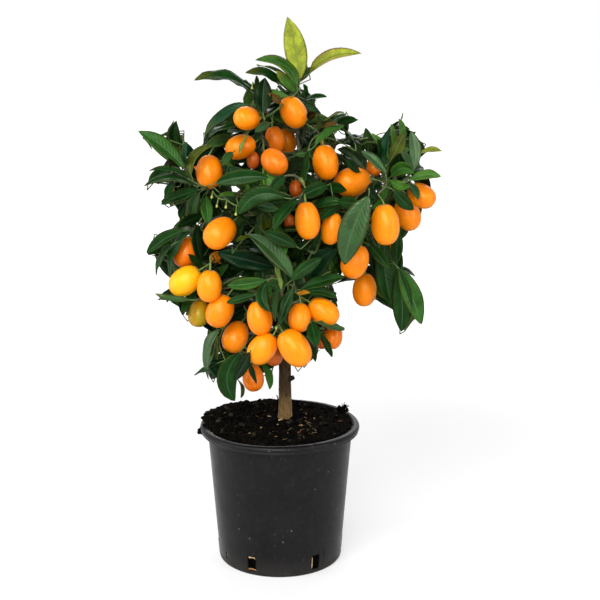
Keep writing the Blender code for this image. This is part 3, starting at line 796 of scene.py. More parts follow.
    roots = Soup()
    def strand(points, r0_, r1_, mat):
        line = spline(points, 4)
        tube(roots, line, np.linspace(r0_, r1_, len(line)), 6, mat)
    for angle, inset in ((-85.6 + 60, 0), (-85.6 + 120, 1)):
        t = radians(angle)
        outw, side, up = np.array([sin(t), -cos(t), 0]), np.array([cos(t), sin(t), 0]), np.array([0, 0, 1.0])
        wall = lambda z: pot_wall_r(z) - POT_WALL - 0.0004
        if inset == 0:
            strand([outw * wall(z) + side * x + up * z for x, z in ((-0.0040, 0.0214), (0.0, 0.0222), (0.0052, 0.0216))],
                   0.0013, 0.0011, 0)
            strand([outw * wall(z) + side * x + up * z for x, z in ((-0.0052, 0.0062), (0.0, 0.0068), (0.0046, 0.0060))],
                   0.0011, 0.0008, 1)
        else:
            strand([outw * wall(z) + side * x + up * z for x, z in ((-0.0044, 0.0062), (-0.0040, 0.0130), (-0.0046, 0.0200))],
                   0.0010, 0.0013, 0)
    for k, angle in enumerate(SLOT_ANGLES):
        t = radians(angle)
        outw, side, up = np.array([sin(t), -cos(t), 0]), np.array([cos(t), sin(t), 0]), np.array([0, 0, 1.0])
        if k in (0, 3, 4, 5):
            strand([outw * (pot_wall_r(z) - POT_WALL - 0.0004) + side * x + up * z
                    for x, z in ((-0.004, 0.008 + 0.002 * k), (0.0, 0.012), (0.0045, 0.009 + 0.0015 * k))], 0.0009, 0.0007, 1)
    # a thin root lies in the narrow slot, and a short light root at the trunk's foot
    t = radians(-57.5)
    outw, up = np.array([sin(t), -cos(t), 0]), np.array([0, 0, 1.0])
    strand([outw * (pot_wall_r(z) - POT_WALL - 0.0003) + up * z for z in (0.0085, 0.0125, 0.0170)], 0.0010, 0.0012, 0)
    foot = at(278.5, 420.5, -0.012)
    strand([foot + np.array([0.004, 0.004, 0.0004]), foot, foot + np.array([-0.0035, -0.001, 0.0012])], 0.0013, 0.0008, 0)
    spike = at(278, 399, 0.012)
    strand([np.array([spike[0], spike[1], 0.1700]), spike, at(276.5, 395, 0.013)], 0.0013, 0.0005, 2)
    roots.piece("roots", [M_ROOT, root_material("roots_dark", (0.230, 0.100, 0.030), (0.380, 0.190, 0.060)), M_CLOD], "soil")


# ---------------------------------------------------------------- trunk and boughs
TRUNK_AXIS = [(0.0062, 0.0, SOIL_CENTRE_Z + GAP), (0.0062, 0.0, 0.178), (0.0062, 0.0, 0.190), (0.0062, 0.0, 0.212),
              (0.0058, 0.0, 0.240), (0.0034, 0.0, 0.268), (0.0004, 0.0, 0.290), (-0.0022, 0.0, 0.307), (-0.0022, 0.0, 0.312)]
TRUNK_R = [0.0092, 0.0083, 0.0077, 0.0074, 0.0072, 0.0069, 0.0066, 0.0063, 0.0062]
LEADER_AXIS = [(-0.0022, 0.0, 0.312 + GAP), (-0.0022, 0.0, 0.318), (-0.0018, 0.001, 0.336), (0.0000, 0.002, 0.362),
               (0.0030, 0.003, 0.392), (0.0066, 0.003, 0.425), (0.0126, 0.002, 0.462),
               (0.0225, 0.001, 0.486), (0.0290, 0.000, 0.510), (0.0292, 0.000, 0.536)]
LEADER_R = [0.0061, 0.0058, 0.0052, 0.0047, 0.0042, 0.0037, 0.0032, 0.0028, 0.0025, 0.0022]

MASSES = {   # centre, half sizes
    "tip": ((0.022, 0.000, 0.578), (0.032, 0.030, 0.036)),
    "crown_left": ((-0.033, -0.040, 0.530), (0.050, 0.044, 0.040)),
    "crown_right": ((0.050, -0.030, 0.505), (0.036, 0.040, 0.034)),
    "crown_back": ((-0.005, 0.062, 0.508), (0.062, 0.050, 0.044)),
    "left_shoulder": ((-0.108, -0.022, 0.466), (0.044, 0.056, 0.040)),
    "left_waist": ((-0.101, -0.018, 0.394), (0.046, 0.058, 0.040)),
    "centre": ((-0.015, -0.092, 0.438), (0.058, 0.046, 0.054)),
    "left_low": ((-0.083, -0.050, 0.326), (0.050, 0.056, 0.040)),
    "middle_low": ((0.006, -0.088, 0.326), (0.050, 0.048, 0.064)),
    "right_shoulder": ((0.130, -0.020, 0.462), (0.050, 0.054, 0.046)),
    "right_waist": ((0.084, -0.064, 0.411), (0.048, 0.052, 0.046)),
    "right_hanging": ((0.128, -0.022, 0.350), (0.040, 0.046, 0.050)),
    "skirt_left": ((-0.056, -0.040, 0.262), (0.046, 0.054, 0.034)),
    "skirt_right": ((0.052, -0.048, 0.290), (0.036, 0.048, 0.034)),
    "back_left": ((-0.078, 0.088, 0.385), (0.060, 0.052, 0.072)),
    "back_right": ((0.080, 0.082, 0.405), (0.062, 0.054, 0.070)),
    "back_low": ((-0.002, 0.080, 0.300), (0.064, 0.050, 0.046)),
}
BOUGHS = {
    "crown_left": ("leader", 0.448, 0.0024, 0.0018, 0.30), "crown_right": ("leader", 0.468, 0.0022, 0.0016, 0.30),
    "crown_back": ("leader", 0.430, 0.0024, 0.0018, 0.35), "left_shoulder": ("leader", 0.352, 0.0034, 0.0022, 0.40),
    "left_waist": ("leader", 0.331, 0.0030, 0.0022, 0.35), "centre": ("leader", 0.372, 0.0028, 0.0020, 0.30),
    "left_low": ("trunk", 0.283, 0.0030, 0.0022, 0.30), "middle_low": ("trunk", 0.300, 0.0028, 0.0020, 0.25),
    "right_shoulder": ("leader", 0.388, 0.0036, 0.0024, 0.35), "right_waist": ("leader", 0.345, 0.0032, 0.0022, 0.35),
    "right_hanging": ("trunk", 0.296, 0.0030, 0.0020, 0.45), "skirt_left": ("trunk", 0.256, 0.0026, 0.0018, 0.10),
    "skirt_right": ("trunk", 0.262, 0.0026, 0.0018, 0.15), "back_left": ("leader", 0.322, 0.0032, 0.0022, 0.35),
    "back_right": ("leader", 0.360, 0.0032, 0.0022, 0.30), "back_low": ("trunk", 0.276, 0.0028, 0.0020, 0.20),
}


def along(axis, z):
    for a, b in zip(axis, axis[1:]):
        if a[2] <= z <= b[2]:
            t = (z - a[2]) / (b[2] - a[2])
            return np.array(a) * (1 - t) + np.array(b) * t


def bough_lines():
    lines = {}
    for name, (parent, z, r0, r1, rise) in BOUGHS.items():
        start = along(TRUNK_AXIS if parent == "trunk" else LEADER_AXIS, z)
        end = np.array(MASSES[name][0])
        run = end - start
        flat = np.array([run[0], run[1], 0.0])
        fl = np.linalg.norm(flat)
        side = flat / fl
        first = start + side * fl * 0.16 + np.array([0, 0, max(run[2], 0.0) * rise * 0.4 + 0.010])
        second = start + side * fl * 0.50 + np.array([0, 0, run[2] * 0.5 + fl * rise * 0.30])
        lines[name] = (spline([start, first, second, end], 12), r0, r1)
    return lines


def bark_relief(scale, depth, seed):
    def relief(pts, ang, r):
        out = r.copy()
        for i, p in enumerate(pts):
            for j, a in enumerate(ang):
                c, s = cos(a), sin(a)
                fissure = nz(c * 2.6 * scale, s * 2.6 * scale, p[2] * 55 + seed)
                lump = nz(c * 1.1, s * 1.1, p[2] * 30 + seed * 2)
                fine = nz(c * 7 * scale, s * 7 * scale, p[2] * 160 + seed)
                out[i, j] += r[i, j] * depth * (0.9 * fissure + 0.9 * lump + 0.45 * fine)
        return out
    return relief


def build_limbs():
    trunk = Soup()
    axis = spline(TRUNK_AXIS[:-1] + LEADER_AXIS[1:], 12)
    key_z = np.array([p[2] for p in TRUNK_AXIS[:-1] + LEADER_AXIS[1:]])
    key_r = np.array(TRUNK_R[:-1] + LEADER_R[1:])
    radii = np.interp(axis[:, 2], key_z, key_r)
    tube(trunk, axis, radii, 36, 0, bark_relief(1.0, 0.045, 3.0))
    # the stub of a cut side shoot, pointing right at the back of the foliage's lower edge, and old leaf scars
    base = along(TRUNK_AXIS, 0.2195) + np.array([0.0040, -0.003, 0.0])
    line = spline([base, base + np.array([0.0040, -0.0015, 0.0012]), base + np.array([0.0068, -0.002, 0.0026])], 4)
    tube(trunk, line, np.interp(np.arange(len(line)), [0, 4, len(line) - 1], [0.0042, 0.0030, 0.0024]), 14, 1,
         bark_relief(0.8, 0.12, 9.0))
    for z, a in ((0.2050, 200), (0.2300, 320), (0.1890, 40), (0.2480, 150), (0.2620, 250), (0.1990, 280)):
        c = along(TRUNK_AXIS, z)
        d = np.array([cos(radians(a)), sin(radians(a)), 0.25])
        p = c + d * 0.0066
        tube(trunk, [p - d * 0.001, p + d * 0.0006, p + d * 0.0013], [0.0026, 0.0020, 0.0008], 10, 1)
    trunk.piece("trunk_and_leader", [M_BARK, M_BOUGH], "bark", ["trunk", "bough_leader"])

    limbs = Soup()
    lines = bough_lines()
    for k, (name, (line, r0, r1)) in enumerate(lines.items()):
        n = len(line)
        length = np.concatenate([[0], np.cumsum(np.linalg.norm(np.diff(line, axis=0), axis=1))])
        radii = np.linspace(r0, r1 * 0.80, n) * (1 + 0.55 * np.exp(-np.maximum(length - 0.004, 0) / 0.006))
        radii[-1] *= 0.7
        tube(limbs, line, radii, 16, 0, bark_relief(0.7, 0.09, 5.0 + k))
    limbs.piece("boughs", [M_BOUGH], "bark", ["bough_" + n for n in BOUGHS])
    return lines


# ---------------------------------------------------------------- where a point of the view lies in depth
MC = np.array([m[0] for m in MASSES.values()])
MH = np.array([m[1] for m in MASSES.values()])
MNAMES = list(MASSES)


def front_of(px, py, only=None):
    """Depth of the nearest mass surface in the line of sight, and that mass; past the outline, where it passes closest."""
    o = np.array(CAM_POS)
    d = at(px, py, 0.0) - o
    d /= np.linalg.norm(d)
    best, best_miss = None, None
    for k in range(len(MC)):
        if only is not None and MNAMES[k] not in only:
            continue
        oc, dd = (o - MC[k]) / MH[k], d / MH[k]
        a, b, c = dd.dot(dd), 2 * oc.dot(dd), oc.dot(oc) - 1
        tm = -b / (2 * a)
        disc = b * b - 4 * a * c
        if disc >= 0:
            t = (-b - sqrt(disc)) / (2 * a)
            # a grazing hit lies in the middle of the mass rather than on its front
            if best is None or t < best[0]:
                best = (t, k)
        else:
            miss = sqrt(max(0.0, c - b * b / (4 * a) + 1))
            if best_miss is None or miss < best_miss[0]:
                best_miss = (miss, tm, k)
    if best is not None:
        p = o + d * best[0]
        return p[1], MNAMES[best[1]]
    p = o + d * best_miss[1]
    return p[1], MNAMES[best_miss[2]]


# ---------------------------------------------------------------- fruit
# Seen from the front: pixel of the centre, visible thickness and length, tilt of the long axis in degrees clockwise
# from upright (the stalk is at the end it points to), peel, share of the way from the front of its mass to the back.
FRUIT = [
    (247, 118.4, 23.5, 26.5, 95, "orange", 0.10), (293.3, 112, 26, 34, -30, "orange", 0.10), (240.6, 147, 24.5, 31, 72, "orange", 0.10),
    (275.0, 139.5, 20, 27, -12, "deep", 0.50), (286.8, 140.6, 19, 25.5, -12, "orange", 0.30), (274.3, 161.8, 25, 29, -50, "deep", 0.25),
    (253, 160, 13, 18, 0, "painted_shade_orange", 0.70), (209.2, 171.8, 26.5, 33.7, 0, "orange", 0.10), (220, 233, 28.5, 35.5, 50, "orange", 0.06),
    (186.5, 252.5, 25, 32, 28, "deep", 0.20), (215.8, 257, 11, 13, 60, "light", 0.50), (185.5, 281, 28, 36.5, 52, "yellow", 0.10),
    (209.4, 286, 25, 33, 3, "light", 0.06), (199, 313.5, 21.5, 27, 10, "turning", 0.40), (220, 310.8, 27, 35, 27, "orange", 0.16),
    (235.5, 336.8, 26, 32, 25, "orange", 0.10), (259.5, 318, 25.5, 35.5, -8, "orange", 0.18), (262.5, 348.5, 26.5, 36, 38, "light", 0.06),
    (294.3, 348, 29.5, 42, -34, "light", 0.02), (299.5, 317.7, 23, 29, 5, "orange", 0.26), (323.4, 311.6, 26, 34.5, -55, "light", 0.16),
    (333, 337, 19, 24, 10, "deep", 0.45), (322, 341, 13, 15, 0, "painted_shade_orange", 0.75), (253, 377.8, 21.5, 27, -10, "deep", 0.20),
    (274, 354, 19, 23, 0, "painted_shade_orange", 0.55), (325.4, 162.3, 26.5, 36, -7, "orange", 0.10), (352.5, 181.8, 30, 37.5, 80, "orange", 0.06),
    (307.4, 220.5, 25, 38.5, -6, "orange", 0.08), (331.5, 228.5, 21, 33, 12, "orange", 0.24), (385.4, 224.5, 29, 42, -5, "light", 0.06),
    (407.2, 214, 26, 35, -22, "orange", 0.26), (421.5, 195.5, 23.5, 30, -58, "orange", 0.16), (373.5, 168, 14, 17, -30, "deep", 0.55),
    (355, 261.3, 27, 36, 20, "orange", 0.14), (364.5, 289.8, 24.5, 34, 3, "orange", 0.12), (296, 188.5, 14, 18, 0, "painted_shade_orange", 0.70),
    (289, 221, 11, 15, 0, "painted_shade_orange", 0.65),
]
HEIGHT_TO_WIDTH = 1.30


class Kumquat:
    def __init__(self, centre, axis, half_len, radius, peel, hero=False):
        self.c, self.axis, self.hl, self.r, self.peel, self.hero = np.asarray(centre, float), unit(axis), half_len, radius, peel, hero

    @property
    def top(self):
        return self.c + self.axis * self.hl * 0.97


def hero_fruit():
    made = []
    for px, py, w, h, tilt, peel, share in FRUIT:
        y, mass = front_of(px, py)
        k = MNAMES.index(mass)
        y = y + 2 * MH[k][1] * share + 0.004
        c = at(px, py, y)
        scale = seen(c)[0][2] / CAM_F
        small, large = w * scale / 2, h * scale / 2
        radius = small
        full = radius * HEIGHT_TO_WIDTH
        sink = 0.0
        if large < full:
            sink = math.acos(max(0.0, min(1.0, sqrt(max(0.0, (large ** 2 - radius ** 2) / (full ** 2 - radius ** 2))))))
        else:
            full = large
        # long axis in the picture plane, then tipped so that the far end from the stalk comes forward
        t = radians(tilt)
        axis = np.array([sin(t), 0.0, cos(t)])
        axis = axis * cos(sink) + np.array([0.0, 1.0, 0.0]) * sin(sink)
        made.append(Kumquat(c, axis, full, radius, peel, True))
    # settle overlaps: the one further back moves further back
    for _ in range(30):
        moved = False
        for i, a in enumerate(made):
            for j in range(i + 1, len(made)):
                b = made[j]
                gap = np.linalg.norm(a.c - b.c)
                need = (a.r + b.r) * 1.06
                if gap < need:
                    far, near = (a, b) if a.c[1] > b.c[1] else (b, a)
                    px, py, _ = seen(far.c)[0]
                    far.c = at(px, py, far.c[1] + (need - gap) * 0.8 + 0.001)
                    px, py, _ = seen(near.c)[0]
                    near.c = at(px, py, near.c[1] - (need - gap) * 0.25)
                    moved = True
        if not moved:
            break
    return made


def fruit_shape(soup, f, mat, seed, nu=26, nv=18):
    """A turned ovoid with a dimple at the stalk and a small scar at the far end, slightly uneven."""
    a = f.axis
    ref = np.array([0.3, 1.0, 0.2])
    s = unit(ref - a * ref.dot(a))
    b = np.cross(a, s)
    th = np.linspace(0, pi, nv + 1)
    z = -np.cos(th)                                 # -1 far end, +1 stalk end
    r = np.sin(th) ** 0.90
    r = r * (1.0 - 0.045 * z)                        # a little fuller below
    zz = z.copy()
    zz = zz - 0.055 * np.exp(-((1 - z) / 0.030) ** 1.0) * (z > 0)      # dimple at the stalk
    zz = zz + 0.030 * np.exp(-((1 + z) / 0.012) ** 1.0)
    ph = np.linspace(0, 2 * pi, nu, endpoint=False)
    wob = 1 + 0.016 * np.cos(2 * ph + seed) + 0.010 * np.cos(3 * ph + seed * 2.1)
    rings = []
    for i in range(1, nv):
        ring = f.c + a * (zz[i] * f.hl) + (np.cos(ph) * wob)[:, None] * s * (r[i] * f.r) \
            + (np.sin(ph) * wob)[:, None] * b * (r[i] * f.r)
        rings.append(ring)
    verts = np.concatenate(rings + [[f.c + a * zz[0] * f.hl], [f.c + a * zz[-1] * f.hl]])
    uv = np.zeros((len(verts), 2))
    uv[:, 0] = np.concatenate([np.tile(ph / (2 * pi), nv - 1), [0.5, 0.5]])
    uv[:, 1] = np.concatenate([np.repeat(th[1:nv] / pi, nu), [0.0, 1.0]])
    i = np.arange(nv - 2)[:, None] * nu
    j = np.arange(nu)[None, :]
    k = (j + 1) % nu
    quads = np.stack([i + j, i + k, i + k + nu, i + j + nu], -1).reshape(-1, 4)
    lo, hi = (nv - 1) * nu, (nv - 1) * nu + 1
    jj, kk = np.arange(nu), (np.arange(nu) + 1) % nu
    tris = np.concatenate([np.stack([np.full(nu, lo), kk, jj], 1),
                           np.stack([np.full(nu, hi), (nv - 2) * nu + jj, (nv - 2) * nu + kk], 1)])
    flip = np.dot(np.cross(s, b), a) < 0
    if flip:
        quads, tris = quads[:, ::-1], tris[:, ::-1]
    soup.add(verts, quads, tris, mat, mat, uv)


def calyx(soup, f, seed):
    """Five short sepals pressed to the fruit round its stalk, and the thickened end of the stalk."""
    a = f.axis
    ref = np.array([0.3, 1.0, 0.2])
    s = unit(ref - a * ref.dot(a))
    b = np.cross(a, s)
    base = f.c + a * (f.hl * 0.945)
    verts, tris = [base + a * 0.0012], []
    n = 10
    for k in range(n):
        ang = 2 * pi * k / n + seed
        rr = 0.0030 if k % 2 == 0 else 0.0014
        d = cos(ang) * s + sin(ang) * b
        sink = f.hl * (1 - sqrt(max(0.0, 1 - (rr / f.r) ** 2))) * 0.9
        verts.append(base + d * rr + a * (0.0006 - sink))
        verts.append(base + d * rr * 0.92 - a * (0.0004 + sink))
    verts.append(base - a * 0.0010)
    for k in range(n):
        k2 = (k + 1) % n
        tris += [(0, 1 + 2 * k, 1 + 2 * k2), (len(verts) - 1, 2 + 2 * k2, 2 + 2 * k),
                 (1 + 2 * k, 2 + 2 * k, 1 + 2 * k2), (1 + 2 * k2, 2 + 2 * k, 2 + 2 * k2)]
    soup.add(verts, None, tris, 0, 0)


# ---------------------------------------------------------------- leaves
# Seen from the front: stalk end, middle of the midrib, tip (pixels), visible width, tone, and notes:
# "t" an aged tip, "e" an aged margin, "f" lies in front of its neighbours, "k" behind them.
LEAVES = [
    (300, 80, 295, 47, 287.3, 16.7, 25, "young", ""), (309.5, 73.5, 330, 57, 361.5, 53.5, 12, "young", "e"),
    (297, 86, 284, 65, 255, 60, 12, "mid", "e"), (298, 93, 287, 82, 276, 71, 12, "bright", "t"),
    (288, 91, 268, 75, 245, 73, 9, "dark", "t"), (263, 113, 263, 95, 265, 77.5, 20, "vdark", ""),
    (257, 89, 256, 82, 256, 75.5, 5, "dark", ""), (288, 96, 277, 93.5, 267, 92.5, 8, "bright", ""),
    (281, 102, 275, 98, 268, 93, 9, "brown", ""), (286, 93, 281, 90, 277, 86.5, 4, "dark", ""),
    (284, 100, 286, 95, 291, 91, 9, "teal", ""), (303, 102, 313, 98, 327, 97, 5, "dark", ""),
    (304, 103, 305, 93, 303, 84, 5, "dark", ""), (308, 120, 312, 114, 317, 112.5, 9, "vdark", ""),
    (316, 130, 320, 122, 318, 114, 6, "grey", ""), (321, 124, 331, 116, 343, 112, 2, "olive", ""),
    (337, 124, 347, 120.5, 358, 120, 10, "dark", ""), (320, 128, 329, 125.5, 338, 124, 6, "brown", ""),
    (315, 146, 326, 134, 345, 125.5, 9, "mid", ""), (251, 91, 224, 77, 194, 80.5, 10, "dark", "t"),
    (255, 90, 248, 85, 242, 81, 5, "dark", ""), (251, 104, 246, 97, 247, 90, 7, "mid", ""),
    (250, 104.5, 224, 116, 204.5, 136.5, 10, "teal", "t"), (243, 131, 235, 131, 227, 132, 4, "dark", ""),
    (243, 128, 236, 124, 231, 119, 6, "dark", ""), (234, 139, 219, 140, 206, 147, 14, "grey", ""),
    (233, 152, 227, 158, 222, 166, 10, "grey", ""), (191, 175, 194, 156, 213, 145, 9, "olive", ""),
    (249, 131, 244, 143, 239, 155, 3, "pale", "f"), (270, 123, 262, 127, 254.5, 132.5, 10, "grey", ""),
    # left shoulder
    (184.5, 168.5, 162, 146, 138, 131, 18, "mid", ""), (177, 148, 174, 134, 176.5, 120.5, 14, "dark", "k"),
    (187, 168, 185, 155, 187.5, 142, 5, "teal", ""), (188, 179, 170, 170.5, 148.5, 171, 6, "dark", "e"),
    (195, 186, 170, 178, 143.5, 186.5, 8, "dark", "e"), (173, 180, 169, 189, 166, 198, 8, "dark", ""),
    (199, 190, 180, 196, 161, 204, 13, "dark", ""), (200, 192, 193, 205, 195, 219.5, 14, "grey", "f"),
    (206, 196, 207, 210, 208.5, 225, 14, "mid", "f"), (186, 203, 182, 211, 181, 220, 8, "dark", ""),
    (203, 215, 190, 220, 177, 227.5, 12, "vdark", ""), (185, 178, 174, 168, 168, 158, 9, "vdark", "k"),
    # centre
    (216, 183, 243, 177, 269, 177.5, 19, "dark", "f"), (285, 198, 258, 195, 238, 215, 20, "dark", "f"),
    (285, 176, 277, 183, 270, 190, 12, "dark", ""), (256, 205, 268, 207, 279, 209, 12, "dark", ""),
    (299, 200, 284, 212, 273.5, 231, 13, "dark", ""), (328, 185, 314, 190, 298.5, 198, 16, "dark", ""),
    (343, 203, 327, 202, 310, 209.5, 11, "dark", ""), (340, 206, 328, 212, 318.5, 222, 12, "dark", ""),
    (327, 189, 337, 188, 347, 190.5, 12, "dark", ""), (337, 201, 349, 203, 360.5, 203, 15, "dark", ""),
    (369, 196, 353, 229, 344.5, 265, 30, "grey", "f"), (308, 150, 305, 168, 302, 187, 8, "dark", ""),
    (302, 178, 303, 183, 304.5, 188, 3, "pale", ""), (293, 279, 272, 252, 248, 234.5, 19, "grey", "f"),
    (297, 247, 281, 239, 262, 231.5, 16, "dark", ""), (275, 268, 247, 260, 217, 253, 23, "teal", "f"),
    (266, 280, 247, 284, 227, 285.5, 14, "mid", "f"), (255, 295, 241, 299, 226.5, 302.5, 10, "dark", ""),
    (268, 281, 262, 297, 271, 312, 14, "dark", ""), (293, 288, 285, 306, 280, 325, 13, "dark", ""),
    (279, 285, 276, 303, 276, 322, 6, "dark", ""), (275, 261, 278, 275, 281, 290, 5, "pale", ""),
    (250, 236, 243, 239, 236, 242, 5, "olive", ""), (297, 293, 303, 293.5, 310, 293, 6, "rust", ""),
    (305, 293, 321, 291, 337, 298, 10, "dark", ""), (300, 290, 322, 281, 346, 277, 13, "dark", ""),
    (309, 283, 317, 262, 338, 250, 23, "teal", "f"), (291, 281, 303, 270, 322, 258, 14, "dark", ""),
    (303, 263, 298, 255, 306, 239, 12, "vdark", ""), (311, 246, 317, 239, 321, 230, 9, "grey", ""),
    # left waist and low
    (184, 231, 165, 239, 146.5, 253.5, 13, "dark", ""), (172, 245, 161, 258, 156, 276.5, 6, "dark", "e"),
    (191, 231, 174, 251, 170.5, 280, 7, "dark", ""), (198, 224, 197, 243, 203, 262, 12, "vdark", ""),
    (203, 263, 195, 261, 188, 254, 9, "dark", "f"), (190, 300, 171, 300, 154.5, 293.5, 8, "grey", "t"),
    (197, 288, 190, 300, 181.5, 313.5, 10, "dark", ""), (221, 329, 208, 347, 208.5, 380, 9, "grey", ""),
    (218, 336, 217, 348, 218, 360, 5, "olive", ""), (214, 347, 212, 357, 209, 366, 4, "grey", ""),
    (218, 363, 206, 369.5, 193.5, 375.5, 5, "dark", ""), (240, 352, 227, 377, 235, 401, 22, "dark", "f"),
    (250, 352, 243, 366, 233, 381, 12, "vdark", "f"), (236, 378, 241, 387, 240.5, 398, 3, "grey", ""),
    (261, 362, 268, 374, 269.5, 389.5, 8, "mid", "f"), (250, 362, 252, 373, 256.5, 384, 6, "teal", "f"),
    (236, 351, 227, 355, 219, 358, 7, "dark", ""),
    # right
    (367, 171, 352, 154, 337, 149.3, 15, "grey", ""), (367, 165, 361, 155, 355.5, 146, 5, "dark", ""),
    (368, 153, 368, 140, 365.5, 127.5, 12, "grey", ""), (386, 174, 374, 160, 360.5, 151, 10, "grey", ""),
    (383, 165, 379, 151, 377.5, 138.5, 5, "dark", ""), (386, 165, 385, 147, 390, 128, 9, "teal", ""),
    (392, 150, 392, 137, 390.5, 124, 5, "bright", ""), (390, 162, 397, 148, 404, 133, 15, "olive", "k"),
    (401, 146, 402, 132, 398.5, 118.5, 8, "bright", ""), (414, 170, 415, 150, 410.5, 131, 13, "grey", ""),
    (419, 154, 430, 150.5, 442, 151.3, 6, "young", ""), (409, 181, 425, 175, 441, 176.5, 11, "bright", ""),
    (391, 177, 403, 168, 414.5, 173.5, 15, "mid", ""), (390, 180, 400, 186, 410, 186, 11, "bright", ""),
    (394, 190, 402, 200, 414, 210, 14, "dark", "f"), (409, 184, 415, 191, 418.5, 200, 9, "grey", "f"),
    (389, 182, 386, 193, 382, 204, 8, "mid", "f"), (372, 182, 371, 192, 378, 200, 10, "vdark", "f"),
    (369, 245, 380, 257, 389.5, 269.5, 13, "dark", ""), (385, 240, 385, 272, 392, 307, 22, "dark", "k"),
    (397, 228, 397, 246, 396, 265, 13, "dark", ""), (398, 268, 402, 299, 401.5, 331.5, 22, "dark", "f"),
    (399, 268, 410.5, 293, 421.5, 324.5, 20, "mid", ""), (360, 172, 352, 166, 346, 160, 8, "dark", "f"),
    (388, 178, 397, 166, 400, 153, 15, "vdark", ""), (412, 165, 406, 158, 401, 152, 8, "grey", ""),
    (316, 322, 331, 327, 345, 329.5, 8, "grey", "f"), (311, 322, 314, 334, 317, 347, 15, "dark", "f"),
    (308, 342, 312, 351, 315.5, 362, 8, "dark", ""), (321, 332, 327, 345, 332, 357.5, 7, "dark", ""),
]
CLEAR = [(288, 366, 7), (287, 376, 9), (287, 388, 9), (287, 399, 9)]      # the bare trunk shows here
# gaps where the background shows between the leaves, seen from the front: centre and rough radius in pixels
SKY = [(236, 190, 3), (282, 186, 3), (268, 217, 3), (254, 228, 3), (246, 228, 3), (233, 237, 3), (230, 243, 3),
       (262, 276, 3), (273, 262, 3), (299, 240, 3), (294, 264, 3), (299, 280, 3), (308, 172, 3), (309, 178, 3),
       (317, 172, 3), (240, 162, 3), (231, 190, 3), (220, 152, 4), (356, 129, 7), (340, 136, 5), (344, 290, 7),
       (164, 264, 4), (168, 275, 4), (192, 140, 4), (275, 373, 3), (275, 382, 3), (265, 393, 5), (247, 394, 4)]


class Blade:
    """A leaf: stalk end, middle and tip of its midrib, width, the way its upper side faces, and its looks."""

    def __init__(self, base, mid, tip, width, normal, tone, mass, notes="", hero=False):
        self.b, self.m, self.t = (np.asarray(p, float) for p in (base, mid, tip))
        self.w, self.n, self.tone, self.mass, self.notes, self.hero = width, unit(normal), tone, mass, notes, hero
        t = unit(self.t - self.b)
        eye = unit(np.array(CAM_POS) - self.m)
        face = unit(self.n - t * self.n.dot(t))
        self.vis = width * max(0.22, abs(face.dot(eye)))
        self.seed = rng.random() * 100
        self.points = None

    def line(self, n):
        c = 2 * self.m - (self.b + self.t) / 2
        s = np.linspace(0, 1, n)[:, None]
        return (1 - s) ** 2 * self.b + 2 * s * (1 - s) * c + s * s * self.t

    def length(self):
        return np.linalg.norm(self.m - self.b) + np.linalg.norm(self.t - self.m)

    def shift(self, dy):
        for name in ("b", "m", "t"):
            p = getattr(self, name)
            px, py, _ = seen(p)[0]
            setattr(self, name, at(px, py, p[1] + dy))


def hero_leaves(fruits, limb_lines):
    made = []
    for i, (bx, by, mx, my, tx, ty, wide, tone, notes) in enumerate(LEAVES):
        y_mid, mass = front_of(mx, my)
        k = MNAMES.index(mass)
        y_tip, _ = front_of(tx, ty, (mass,))
        chord = math.hypot(tx - bx, ty - by)
        y_mid = y_mid + 0.30 * MH[k][1] * (0.4 + 0.5 * sin(i * 2.3))
        if "f" in notes:
            y_mid -= 0.010
        if "k" in notes:
            y_mid += 0.014
        scale = seen(at(mx, my, y_mid))[0][2] / CAM_F
        flat = chord * scale
        # a leaf that shows short points towards or away from the viewer
        want = 0.046 + 0.010 * (0.5 + 0.5 * sin(i * 5.1))
        away = sqrt(max(0.0, want * want - flat * flat)) if flat < want else 0.10 * flat
        away = min(away, 0.040)
        dy = -away * (0.62 if y_tip <= y_mid + 0.004 or flat < 0.03 else -0.45)
        base, mid, tip = at(bx, by, y_mid - dy * 0.5), at(mx, my, y_mid), at(tx, ty, y_mid + dy * 0.5)
        length = np.linalg.norm(mid - base) + np.linalg.norm(tip - mid)
        vis = wide * scale
        full = max(vis, 0.33 * length)
        t = unit(tip - base)
        to_eye = unit(np.array(CAM_POS) - mid)
        n0 = unit(to_eye - t * to_eye.dot(t))
        turn = math.acos(min(1.0, vis / full)) * 0.96
        side = np.cross(t, n0)
        options = [n0 * cos(turn) + side * sin(turn), n0 * cos(turn) - side * sin(turn)]
        normal = max(options, key=lambda v: v[2])
        made.append(Blade(base, mid, tip, full, normal, tone, mass, notes, True))
        made[-1].vis = vis
    # leaves hang in front of the limbs that they hide
    wood = np.concatenate([seen(np.array(line, float)) for line, _, _ in limb_lines.values()]
                          + [seen(np.array([along(LEADER_AXIS, z) for z in np.arange(0.314, 0.5359, 0.004)]))])
    for leaf in made:
        if "k" in leaf.notes:
            continue
        s = seen(leaf.line(9))
        gap = np.hypot(wood[:, None, 0] - s[None, :, 0], wood[:, None, 1] - s[None, :, 1])
        over = gap < leaf.vis * 0.5 * CAM_F / s[None, :, 2] + 2.0
        ahead = np.where(over, s[None, :, 2] - wood[:, None, 2] + 0.006, 0.0).max()
        if ahead > 0:
            leaf.shift(-min(ahead, 0.080))
    # a leaf that would cut through a fruit passes in front of it where it was drawn over the fruit, and else behind it
    for leaf in made:
        for _ in range(14):
            pts = leaf.line(7)
            push = 0.0
            for f in fruits:
                d = pts - f.c
                along_axis = d @ f.axis
                radial = np.sqrt(np.maximum((d * d).sum(1) - along_axis ** 2, 0))
                inside = (along_axis / (f.hl + 0.0018)) ** 2 + (radial / (f.r + 0.0018)) ** 2
                if inside.min() < 1.0:
                    px, py, _ = seen(leaf.m)[0]
                    fx, fy, dep = seen(f.c)[0]
                    over = math.hypot(px - fx, py - fy) < f.r * CAM_F / dep * 0.95 or "f" in leaf.notes
                    push = -0.0035 if over else 0.0035
            if push == 0.0:
                break
            leaf.shift(push)
    return made


